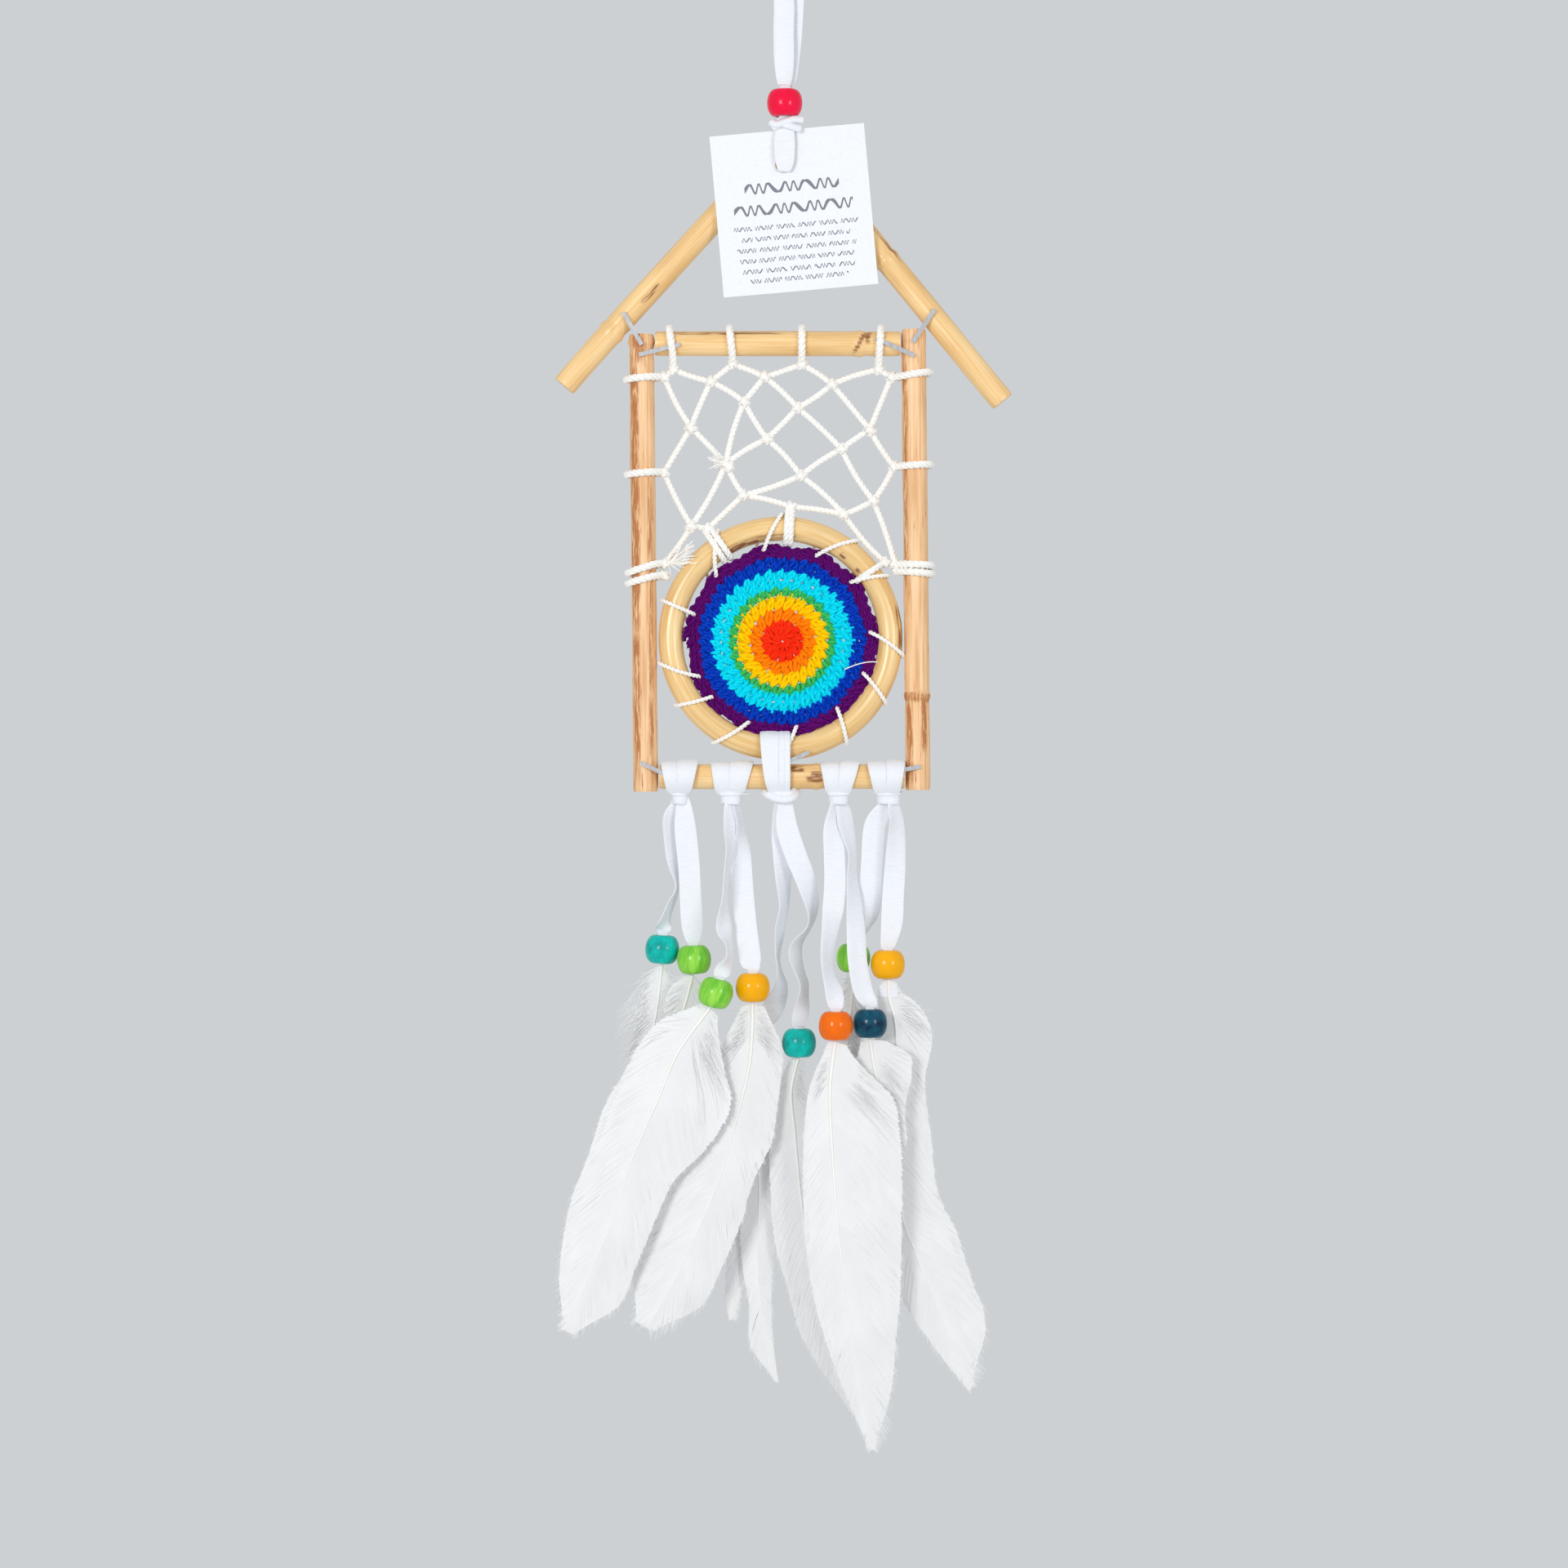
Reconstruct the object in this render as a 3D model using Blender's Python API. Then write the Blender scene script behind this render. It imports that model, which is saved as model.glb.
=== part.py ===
"""A hanging dream catcher: a little house of cane sticks stapled together, with a cotton web, a
crocheted disc in a cane hoop, a paper tag, and ten ribbon tails that each end in a bead and a feather.

The object hangs from a tape loop. Its origin is the inside of that loop's top, +Z is up, +X is to the
right seen from the front, and -Y faces the viewer. Tables are in millimetres, meshes in metres.
"""

import math

import bmesh
import bpy
from mathutils import Matrix, Vector

MM = 0.001

# Driving dimensions
GAP = 0.3
STICK_R = 3.55
STICK_SIDES = 20
END_CHAMFER = 0.4
HOOP_RING_R = 31.35
HOOP_CANE_R = 3.5
HOOP_CENTRE = (-1.0, -208.1)
HOOP_SIDES = 12
HOOP_STEPS = 40
DISC_R = 27.2
DISC_THICKNESS = 2.2
DISC_RIM = 0.5
CORD_R = 0.8
NET_HALF_WIDTH = 0.76
NET_HALF_DEPTH = 0.68
KNOT_REACH = 2.4
THREAD_R = 0.45
THREAD_SIDES = 5
TAPE_WIDTH = 6.0
TAPE_THICKNESS = 0.8
TAPE_AT_KNOT = 4.2
WIRE_WIDTH = 1.2
WIRE_THICKNESS = 0.7
STAPLE_DEPTH = 5.8
BEAD = (4.9, 8.2, 1.6)
RED_BEAD = (5.05, 7.7, 2.2)
BEAD_HALF = 4.1
BEAD_SIDES = 14
TAIL_IN_BEAD = ((BEAD_HALF + 1.4, 2.4), (BEAD_HALF - 0.4, 2.2), (0.5, 2.2))
TAIL_END_THICKNESS = 1.0
QUILL_DROPS = (0.5, BEAD_HALF, BEAD_HALF + 1.5)
QUILL_SIZE = (1.6, 1.4)
VANE_THICKNESS = 0.9
TOP_BAR_Z = -123.9
BOTTOM_BAR_Z = -247.6
KNOT_DROP = 6.3
KNOT_SIZE = (2.5, 2.2, 2.2)

# Sticks: (x, z) of both ends of the centre line
APEX = (0.9, -65.4)
ROOF_END_SHORT = 4.4
STICKS = {
    "roof_stick_left": ((-62.8, -136.0), (-49.2, -120.5), APEX),
    "roof_stick_right": ((62.5, -140.4), APEX),
    "post_left": ((-40.7, -121.3), (-39.5, -251.9)),
    "post_right": ((37.0, -119.9), (38.3, -251.4)),
    "top_bar": ((-36.8, TOP_BAR_Z), (33.15, TOP_BAR_Z)),
    "bottom_bar": ((-35.6, BOTTOM_BAR_Z), (34.4, BOTTOM_BAR_Z)),
}

# Staples: the two legs (x, z), and the pieces that each leg goes into
STAPLES = {
    "staple_apex": ((-4.3, -69.9), (6.1, -70.1), "roof_stick_left", "roof_stick_right"),
    "staple_roof_left": ((-45.6, -115.7), (-40.7, -124.3), "roof_stick_left", "post_left"),
    "staple_roof_right": ((42.8, -114.8), (36.8, -123.6), "roof_stick_right", "post_right"),
    "staple_top_left": ((-41.0, -127.4), (-30.0, -124.6), "post_left", "top_bar"),
    "staple_top_right": ((36.9, -127.6), (26.4, -122.9), "post_right", "top_bar"),
    "staple_bottom_left": ((-40.5, -243.8), (-31.1, -248.3), "post_left", "bottom_bar"),
    "staple_bottom_right": ((38.5, -244.8), (28.1, -246.8), "post_right", "bottom_bar"),
    "staple_hoop": ((-3.0, -245.3), (6.8, -240.8), "bottom_bar", "cane_hoop"),
}

# The web: knots as (x, drop below the top bar's centre line) and the cord runs between them
WEB_KNOTS = {
    "t1": (-31.6, 7.4), "t2": (-14.7, 5.9), "t3": (5.0, 5.9), "t4": (27.0, 7.4),
    "l1": (-34.2, 9.6), "l2": (-34.3, 36.8), "l3": (-34.2, 62.8),
    "r1": (30.7, 9.6), "r2": (31.4, 35.1), "r3": (31.7, 63.0),
    "a1": (-20.9, 10.8), "a2": (-5.5, 9.5), "a3": (13.7, 11.6),
    "b1": (-26.6, 23.9), "b2": (-11.4, 16.6), "b3": (3.9, 18.3), "b4": (24.5, 24.6),
    "c1": (-16.6, 34.3), "c2": (-4.9, 27.2), "c3": (16.4, 30.1),
    "d1": (-26.5, 52.2), "d2": (-11.6, 43.3), "d3": (4.8, 37.7), "d4": (25.5, 44.9),
    "e1": (-21.7, 52.9), "e2": (1.9, 46.6), "e3": (17.1, 48.8), "e4": (28.8, 62.5),
}
WEB_RUNS = (
    "l1-t1 t1-a1 a1-t2 t2-a2 a2-t3 t3-a3 a3-t4 t4-r1 l1-b1 a1-b1 a1-b2 a2-b2 a2-b3 a3-b3 a3-b4 "
    "r1-b4 b1-l2 b1-c1 b2-c1 b2-c2 b3-c2 b3-c3 b4-c3 b4-r2 c2-c1 c2-d3 c3-d3 c3-d4 r2-d4 l2-d1 "
    "c1-d1 c1-d2 d3-d2 d3-e3 e3-d4 d2-e1 d1-e1 d1-l3 d2-e2 e2-e3 e3-e4 e4-r3 d4-r3"
)
# Where the cord loops round a stick: knot, stick, radius of the loop's centre line
BAR_LOOP_R = STICK_R + GAP + CORD_R
WIDE_LOOP_R = 6.0
WEB_LOOPS = (
    ("t1", "top_bar", WIDE_LOOP_R), ("t2", "top_bar", BAR_LOOP_R), ("t3", "top_bar", BAR_LOOP_R),
    ("t4", "top_bar", WIDE_LOOP_R), ("l1", "post_left", BAR_LOOP_R), ("l2", "post_left", BAR_LOOP_R),
    ("l3", "post_left", BAR_LOOP_R), ("r1", "post_right", BAR_LOOP_R), ("r2", "post_right", BAR_LOOP_R),
    ("r3", "post_right", BAR_LOOP_R), ("e1", "cane_hoop", BAR_LOOP_R), ("e2", "cane_hoop", BAR_LOOP_R),
    ("e4", "cane_hoop", BAR_LOOP_R),
)
LOOP_REACH = 0.5

# Whip stitches that tie the disc into the hoop: (angle outside the hoop, angle at the disc's edge)
STITCHES = (
    (26, 31), (51, 64), (90, 100), (128, 135), (162, 165), (199, 206), (213, 221), (238, 249),
    (292, 296), (303, 310), (329, 337), (344, 354),
)
STITCH_HOLE_R = 25.8
STITCH_RUN_R = 25.2

# Tag card
CARD_CENTRE = (2.8, -86.5)
CARD_SIZE = (44.1, 46.0)
CARD_TILT = 5.1
CARD_THICKNESS = 0.4
CARD_HOLE = (0.0, -73.5)
CARD_HOLE_R = 2.5
CARD_Y = -5.15

# Hanging ribbon, point by point: x, y, z, width, thickness, turn of its broad side from the X axis
RED_BEAD_AT = (0.2, -5.5, -56.0)
LOWER_LOOP = (
    (0.3, -6.4, -62.6, 3.6, 0.8, 0), (0.2, -6.15, -66.5, 5.8, 0.8, 0), (0.2, -6.2, -70.6, 5.0, 0.8, 0),
    (0.2, -6.05, -72.6, 3.2, 0.8, 0), (0.3, -4.6, -73.7, 2.6, 0.8, 0), (0.6, -2.5, -73.4, 2.0, 0.9, 0),
    (0.8, 0.0, -73.3, 2.0, 0.9, 0), (0.9, 3.0, -72.9, 2.4, 0.8, 0), (0.9, 4.9, -70.5, 4.0, 0.8, 0),
    (0.9, 5.3, -67.0, 5.0, 0.8, 0), (0.8, 4.6, -63.6, 5.0, 0.8, 0), (0.6, 2.0, -61.6, 4.6, 0.8, 0),
    (0.4, -2.0, -61.2, 4.0, 0.8, 0), (0.4, -6.6, -61.5, 3.4, 0.8, 0),
)
BEAD_BUNDLE = (
    (0.3, -6.7, -62.4, 3.0, 2.0, 0), (0.2, -5.6, -59.8, 3.2, 2.0, 0), (0.2, -5.5, -56.0, 3.2, 2.0, 0),
    (0.2, -5.5, -47.0, 3.2, 2.0, 0), (0.2, -5.5, -38.0, 3.2, 2.0, 0),
)
UPPER_LOOP = (
    (0.1, -5.95, -39.0, 2.8, 0.8, 0), (-0.1, -5.4, -34.0, 5.0, 0.8, 0), (0.0, -4.1, -26.0, 5.7, 0.8, 0),
    (-1.2, -2.4, -15.0, 5.8, 0.8, 45), (-2.4, -0.9, -7.0, 5.8, 0.8, 84), (-2.3, 0.0, -2.2, 5.8, 0.8, 90),
    (0.0, 0.0, 0.4, 5.8, 0.8, 90), (2.3, 0.0, -2.2, 5.8, 0.8, 90), (2.6, -0.3, -7.0, 5.8, 0.8, 84),
    (2.6, -1.1, -15.0, 5.8, 0.8, 45), (2.8, -2.4, -26.0, 5.7, 0.8, 0), (1.2, -4.0, -34.0, 5.0, 0.8, 0),
    (0.4, -4.95, -39.0, 2.8, 0.8, 0),
)
RIBBON_KNOT = (1.1, -7.15, -62.3)
RIBBON_KNOT_SIZE = (4.6, 1.5, 2.0)

# Ribbon hitches on the bottom bar: left edge, right edge, x of the knot and inner radius. The third
# also goes round the hoop above the bar, up to HOOP_TIE_TOP.
HITCHES = {
    "ribbon_hitch_1": (-35.4, -23.6, -29.6, 5.4),
    "ribbon_hitch_2": (-20.8, -8.4, -14.5, 3.9),
    "ribbon_hitch_3": (-6.8, 1.9, 0.2, 4.9),
    "ribbon_hitch_4": (10.3, 21.5, 16.1, 3.9),
    "ribbon_hitch_5": (23.6, 34.2, 30.1, 5.5),
}
HOOP_TIE = "ribbon_hitch_3"
HOOP_TIE_TOP = -235.0
HITCH_THICKNESS = 0.9

# Pendants. hangs: the hitch it hangs from, and whether it has a hinge of its own at the knot.
# tail: x, y, z, turn of the tape, with z from the bottom bar's centre line. bead: x, y, z and tilt.
# feather: x, y, z and width down the vane, and the tip.
PENDANTS = {
    "01": {
        "hangs": ("ribbon_hitch_1", True), "colour": "teal", "bead": (-34.9, 4.0, -49.5, 0),
        "tail": ((-30.6, 0.75, -8.9, 0), (-32.2, 1.2, -14.9, 25), (-32.0, 2.0, -25.7, 30),
                 (-31.2, 2.4, -31.5, 10), (-33.4, 3.0, -38.0, 30)),
        "feather": ((-38.2, 4.2, -63.4, 10), (-40.0, 4.4, -73.4, 14), (-42.5, 4.4, -83.4, 12),
                    (-46.0, 4.2, -92.0, 1.5)),
    },
    "02": {
        "hangs": ("ribbon_hitch_1", False), "colour": "green", "bead": (-25.7, 0.5, -52.3, 0),
        "tail": ((-28.6, -0.75, -8.9, 0), (-28.2, -0.6, -14.9, 0), (-27.4, -0.2, -25.0, 0),
                 (-26.8, 0.1, -32.7, 0), (-26.2, 0.4, -42.0, 0)),
        "feather": ((-30.6, 0.6, -66.0, 9), (-34.6, 0.6, -76.0, 11), (-39.0, 0.6, -92.0, 1.5)),
    },
    "03": {
        "hangs": ("ribbon_hitch_2", True), "colour": "green", "bead": (-19.4, -9.0, -61.4, 15),
        "tail": ((-14.8, -0.75, -8.9, 0), (-15.2, -2.4, -14.9, 15), (-16.6, -4.8, -26.4, 55),
                 (-17.0, -6.4, -38.0, 65), (-17.5, -7.2, -43.4, 60), (-16.4, -8.0, -50.6, 40)),
        "feather": ((-27.3, -9.2, -76.1, 24), (-33.0, -9.4, -94.2, 31), (-45.0, -9.4, -116.9, 24),
                    (-53.5, -9.2, -139.6, 20), (-59.6, -9.0, -157.8, 5)),
    },
    "04": {
        "hangs": ("ribbon_hitch_2", False), "colour": "yellow", "bead": (-8.9, -5.0, -60.0, 0),
        "tail": ((-14.0, 0.75, -8.9, 0), (-12.1, 0.6, -14.9, 0), (-11.4, -0.6, -32.7, 0),
                 (-9.9, -3.2, -48.0, 0)),
        "feather": ((-9.5, -5.0, -76.1, 14), (-12.6, -5.0, -94.2, 20), (-21.4, -5.0, -116.9, 23),
                    (-30.5, -5.0, -139.6, 22), (-39.0, -5.0, -157.8, 5)),
    },
    "05": {
        "hangs": ("ribbon_hitch_3", True), "colour": "orange", "bead": (-7.7, 5.0, -77.9, 0),
        "tail": ((-0.4, 0.75, -8.9, 0), (-0.7, 1.3, -14.9, 0), (-0.4, 2.2, -28.2, 0),
                 (-1.4, 3.0, -39.0, 0), (-1.9, 3.8, -50.6, 0), (-1.0, 4.4, -59.5, 0),
                 (-3.6, 4.8, -67.0, 0)),
        "feather": ((-8.0, 5.0, -100.0, 12), (-6.5, 5.0, -120.0, 16), (-7.0, 5.0, -135.0, 17),
                    (-6.8, 5.0, -152.0, 9), (-2.8, 5.0, -174.1, 1.5)),
    },
    "06": {
        "hangs": ("ribbon_hitch_3", False), "colour": "teal", "bead": (4.3, 0.8, -76.1, 0),
        "tail": ((0.8, -0.75, -8.9, 0), (2.8, -0.6, -16.6, 0), (6.4, -0.3, -31.0, 10),
                 (8.2, -0.1, -38.0, 10), (4.6, 0.2, -47.8, 0), (5.3, 0.5, -58.6, 0),
                 (4.4, 0.7, -66.0, 0)),
        "feather": ((3.5, 0.8, -94.2, 12), (4.0, 0.8, -116.9, 16), (7.1, 0.8, -139.6, 17),
                    (12.6, 0.8, -162.3, 13), (20.8, 0.8, -183.2, 2.0)),
    },
    "07": {
        "hangs": ("ribbon_hitch_4", True), "colour": "orange", "bead": (14.7, -9.0, -70.7, 0),
        "tail": ((15.3, -0.75, -8.9, 0), (13.9, -1.6, -14.9, 0), (13.8, -2.8, -23.8, 0),
                 (13.4, -4.7, -38.0, 0), (12.3, -6.4, -50.6, 0), (13.6, -7.7, -59.5, 0)),
        "feather": ((17.1, -9.0, -86.0, 18), (20.6, -9.0, -104.2, 24), (21.7, -9.0, -126.0, 24),
                    (23.0, -9.0, -151.4, 19), (25.3, -9.0, -171.4, 11), (25.0, -9.0, -192.3, 1.5)),
    },
    "08": {
        "hangs": ("ribbon_hitch_4", False), "colour": "dark_teal", "bead": (24.5, -5.0, -70.2, 0),
        "tail": ((16.9, 0.75, -8.9, 0), (18.7, 0.1, -14.9, 0), (20.0, -0.7, -22.9, 0),
                 (19.4, -1.2, -28.2, 0), (20.5, -2.6, -41.8, 0), (21.3, -3.5, -50.6, 0),
                 (23.4, -4.4, -60.0, 0)),
        "feather": ((29.0, -5.0, -83.5, 16), (29.0, -5.0, -98.8, 17), (28.0, -5.0, -122.4, 1.5)),
    },
    "09": {
        "hangs": ("ribbon_hitch_5", False), "colour": "yellow", "bead": (29.7, 0.8, -53.7, 0),
        "tail": ((30.9, -0.75, -8.9, 0), (31.6, -0.5, -17.5, 0), (31.5, 0.1, -32.7, 0),
                 (30.6, 0.5, -44.0, 0)),
        "feather": ((34.4, 0.8, -71.6, 13), (35.3, 0.8, -94.2, 12), (37.4, 0.8, -116.9, 14),
                    (42.5, 0.8, -139.6, 18), (49.0, 0.8, -157.8, 18), (55.1, 0.8, -175.0, 1.5)),
    },
    "10": {
        "hangs": ("ribbon_hitch_5", True), "colour": "green", "bead": (19.9, 5.0, -52.0, 0),
        "tail": ((29.3, 0.75, -8.9, 0), (25.6, 1.5, -17.5, 0), (24.5, 2.5, -28.2, 0),
                 (24.2, 3.6, -38.0, 0), (21.4, 4.6, -44.5, 0)),
        "feather": ((18.4, 5.0, -68.0, 9), (17.5, 5.0, -84.0, 10), (17.2, 5.0, -96.0, 1.5)),
    },
}

COLOURS = {
    "cane": (0.82, 0.60, 0.30), "post": (0.78, 0.55, 0.36), "steel": (0.75, 0.75, 0.77),
    "cotton": (0.92, 0.90, 0.85), "tape": (0.93, 0.93, 0.95), "card": (0.95, 0.95, 0.95),
    "crochet": (0.35, 0.10, 0.45), "feather": (0.95, 0.95, 0.94), "red": (0.75, 0.04, 0.04),
    "teal": (0.02, 0.50, 0.42), "green": (0.28, 0.62, 0.06), "yellow": (0.95, 0.60, 0.02),
    "orange": (0.90, 0.25, 0.02), "dark_teal": (0.01, 0.12, 0.16),
}


def material(name, roughness=0.6, metallic=0.0):
    made = bpy.data.materials.get(name)
    if made is None:
        made = bpy.data.materials.new(name)
        made.use_nodes = True
        shader = made.node_tree.nodes["Principled BSDF"]
        shader.inputs["Base Color"].default_value = (*COLOURS[name], 1.0)
        shader.inputs["Roughness"].default_value = roughness
        shader.inputs["Metallic"].default_value = metallic
    return made


def mesh_of(name, bm, origin):
    """The bmesh, whose points are in millimetres, as a mesh in metres about its origin."""
    bm.normal_update()
    bmesh.ops.recalc_face_normals(bm, faces=bm.faces)
    bm.transform(Matrix.Scale(MM, 4) @ Matrix.Translation(-Vector(origin)))
    mesh = bpy.data.meshes.new(name)
    bm.to_mesh(mesh)
    bm.free()
    mesh.shade_smooth()
    mesh.set_sharp_from_angle(angle=math.radians(38))
    return mesh


def add_node(name, bm, finish, pivot=None):
    """Adds one piece. A piece on a pivot has its origin there, on its joint's axis."""
    origin = pivot["at_mm"] if pivot else (0.0, 0.0, 0.0)
    obj = bpy.data.objects.new(name, mesh_of(name, bm, origin))
    obj.data.materials.append(finish)
    obj.parent = pivot
    bpy.context.scene.collection.objects.link(obj)
    return obj


def add_pivot(name, at_mm, parent=None):
    """An empty on a joint's axis."""
    empty = bpy.data.objects.new(name, None)
    empty["at_mm"] = at_mm
    above = Vector(parent["at_mm"]) if parent else Vector()
    empty.parent = parent
    empty.location = (Vector(at_mm) - above) * MM
    bpy.context.scene.collection.objects.link(empty)
    return empty


def combine(obj, bm, operation):
    """Cuts the shape out of the object, or joins it on, with a hidden helper."""
    origin = obj.parent["at_mm"] if obj.parent else (0.0, 0.0, 0.0)
    name = f"{obj.name}_helper_{len(obj.modifiers)}"
    helper = bpy.data.objects.new(name, mesh_of(name, bm, origin))
    helper.parent = obj.parent
    helper.hide_render = True
    helper.display_type = "WIRE"
    bpy.context.scene.collection.objects.link(helper)
    boolean = obj.modifiers.new(name, "BOOLEAN")
    boolean.operation = operation
    boolean.solver = "EXACT"
    boolean.object = helper


def smooth_path(points, per_run):
    """Rows of numbers along one smooth curve through the given rows."""
    rows = [points[0], *points, points[-1]]
    made = []
    for before, start, end, after in zip(rows, rows[1:], rows[2:], rows[3:]):
        for step in range(per_run):
            t = step / per_run
            made.append(tuple(
                0.5 * (2 * b + (c - a) * t + (2 * a - 5 * b + 4 * c - d) * t * t
                       + (3 * b - a - 3 * c + d) * t ** 3)
                for a, b, c, d in zip(before, start, end, after)
            ))
    return made + [tuple(points[-1])]


def tangents(centres):
    ends = [centres[0], *centres, centres[-1]]
    return [(after - before).normalized() for before, after in zip(ends, ends[2:])]


def skin(rings, closed=False):
    """A solid whose surface runs from ring to ring of points, capped at both ends unless it closes."""
    bm = bmesh.new()
    loops = [[bm.verts.new(point) for point in ring] for ring in rings]
    pairs = list(zip(loops, loops[1:]))
    if closed:
        pairs.append((loops[-1], loops[0]))
    else:
        bm.faces.new(loops[0])
        bm.faces.new(loops[-1])
    for low, high in pairs:
        for i in range(len(low)):
            j = (i + 1) % len(low)
            bm.faces.new((low[i], low[j], high[j], high[i]))
    return bm


def join_shapes(*shapes):
    """One bmesh that holds the given separate solids."""
    bm = bmesh.new()
    for shape in shapes:
        corners = {vert: bm.verts.new(vert.co) for vert in shape.verts}
        for face in shape.faces:
            bm.faces.new([corners[vert] for vert in face.verts])
        shape.free()
    return bm


def tube(centres, radius, sides, closed=False):
    """A round tube along the points. radius is one number, or one for each point."""
    centres = [Vector(point) for point in centres]
    if closed:
        ahead = centres[1:] + centres[:1]
        behind = centres[-1:] + centres[:-1]
        along = [(b - a).normalized() for a, b in zip(behind, ahead)]
    else:
        along = tangents(centres)
    side = along[0].orthogonal().normalized()
    rings = []
    for i, (centre, direction) in enumerate(zip(centres, along)):
        side = (side - direction * side.dot(direction)).normalized()
        across = direction.cross(side)
        size = radius if isinstance(radius, (int, float)) else radius[i]
        angles = [2 * math.pi * step / sides for step in range(sides)]
        rings.append([centre + size * (side * math.cos(a) + across * math.sin(a)) for a in angles])
    return skin(rings, closed)


def ring_of(centre, axis, ring_r, tube_r, steps=12, sides=6):
    """A closed loop of cord round an axis."""
    axis = Vector(axis).normalized()
    first = axis.orthogonal().normalized()
    second = axis.cross(first)
    angles = [2 * math.pi * (step + 0.5) / steps for step in range(steps)]
    points = [Vector(centre) + ring_r * (first * math.cos(a) + second * math.sin(a)) for a in angles]
    return tube(points, tube_r, sides, closed=True)


def tape(rows, per_run=2):
    """A flat strip through rows of x, y, z, width, thickness and turn."""
    rows = smooth_path(rows, per_run)
    centres = [Vector(row[:3]) for row in rows]
    rings = []
    for centre, along, row in zip(centres, tangents(centres), rows):
        turn = math.radians(row[5])
        side = Vector((math.cos(turn), math.sin(turn), 0.0))
        side = (side - along * side.dot(along)).normalized()
        out = along.cross(side)
        half, deep = side * row[3] / 2, out * row[4] / 2
        rings.append([centre + half + deep, centre - half + deep, centre - half - deep, centre + half - deep])
    return skin(rings)


def ball(centre, radii, steps=12):
    bm = bmesh.new()
    bmesh.ops.create_uvsphere(bm, u_segments=steps, v_segments=steps // 2, radius=1.0)
    bm.transform(Matrix.Translation(centre) @ Matrix.Diagonal((*radii, 1.0)))
    return bm


def box(low, high):
    bm = bmesh.new()
    bmesh.ops.create_cube(bm, size=1.0)
    low, high = Vector(low), Vector(high)
    bm.transform(Matrix.Translation((low + high) / 2) @ Matrix.Diagonal((*(high - low), 1.0)))
    return bm


def in_plane(point, y=0.0):
    return Vector((point[0], y, point[1]))


def cane(points, radius):
    """A round stick along the points, with its square-cut ends lightly broken."""
    centres = [in_plane(point) for point in points]
    first = (centres[1] - centres[0]).normalized() * END_CHAMFER
    last = (centres[-2] - centres[-1]).normalized() * END_CHAMFER
    centres = [centres[0], centres[0] + first, *centres[1:-1], centres[-1] + last, centres[-1]]
    sizes = [radius - END_CHAMFER, *[radius] * (len(centres) - 2), radius - END_CHAMFER]
    return tube(centres, sizes, STICK_SIDES)


def make_sticks():
    for name, points in STICKS.items():
        points = list(points)
        if points[-1] is APEX:
            short = (Vector(points[-2]) - Vector(APEX)).normalized() * ROOF_END_SHORT
            points[-1] = tuple(Vector(APEX) + short)
        finish = material("post") if name.startswith("post") else material("cane")
        yield name, add_node(name, cane(points, STICK_R), finish)


def hoop_point(radius, degrees, y=0.0):
    angle = math.radians(degrees)
    return Vector((HOOP_CENTRE[0] + radius * math.cos(angle), y, HOOP_CENTRE[1] + radius * math.sin(angle)))


def make_hoop():
    """A bent cane whose two square-cut ends meet under the ribbon that ties it to the bar."""
    opening = math.degrees(GAP / HOOP_RING_R)
    turn = 360 - opening
    start = -90 + opening / 2
    centres = [hoop_point(HOOP_RING_R, start + turn * i / HOOP_STEPS) for i in range(HOOP_STEPS + 1)]
    return add_node("cane_hoop", tube(centres, HOOP_CANE_R, HOOP_SIDES), material("cane"))


def staple_leg(point, margin, direction, low_y, high_y):
    """One leg of a staple, or with a margin the hole that it goes into."""
    bm = box((-WIRE_THICKNESS / 2 - margin, low_y, -WIRE_WIDTH / 2 - margin),
             (WIRE_THICKNESS / 2 + margin, high_y, WIRE_WIDTH / 2 + margin))
    angle = math.atan2(direction.z, direction.x)
    bm.transform(Matrix.Translation(in_plane(point)) @ Matrix.Rotation(-angle, 4, "Y"))
    return bm


def staple_shape(first, second, front):
    """A staple's wire: one leg, its crown and the other leg, as one bent strip."""
    start, end = in_plane(first), in_plane(second)
    along = (end - start).normalized()
    across = along.cross(Vector((0, 1, 0))) * WIRE_WIDTH / 2
    inner, outer = front, front - WIRE_THICKNESS
    deep = front + STAPLE_DEPTH
    half = along * WIRE_THICKNESS / 2
    outline = [
        start - half + Vector((0, deep, 0)), start - half + Vector((0, outer, 0)),
        end + half + Vector((0, outer, 0)), end + half + Vector((0, deep, 0)),
        end - half + Vector((0, deep, 0)), end - half + Vector((0, inner, 0)),
        start + half + Vector((0, inner, 0)), start + half + Vector((0, deep, 0)),
    ]
    bm = bmesh.new()
    near = [bm.verts.new(point - across) for point in outline]
    far = [bm.verts.new(point + across) for point in outline]
    for i in range(len(outline)):
        j = (i + 1) % len(outline)
        bm.faces.new((near[i], near[j], far[j], far[i]))
    for corners in (near, far):
        for picked in ((0, 1, 6, 7), (1, 2, 5, 6), (2, 3, 4, 5)):
            bm.faces.new([corners[i] for i in picked])
    return bm


def make_staples(pieces):
    """Each staple's crown lies on the front, and its legs go into drilled holes in two pieces."""
    front = -STICK_R - GAP
    for name, (first, second, first_piece, second_piece) in STAPLES.items():
        add_node(name, staple_shape(first, second, front), material("steel", 0.25, 1.0))
        along = (in_plane(second) - in_plane(first)).normalized()
        for point, piece in ((first, first_piece), (second, second_piece)):
            hole = staple_leg(point, GAP, along, front - 2, front + STAPLE_DEPTH + GAP)
            combine(pieces[piece], hole, "DIFFERENCE")


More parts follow.
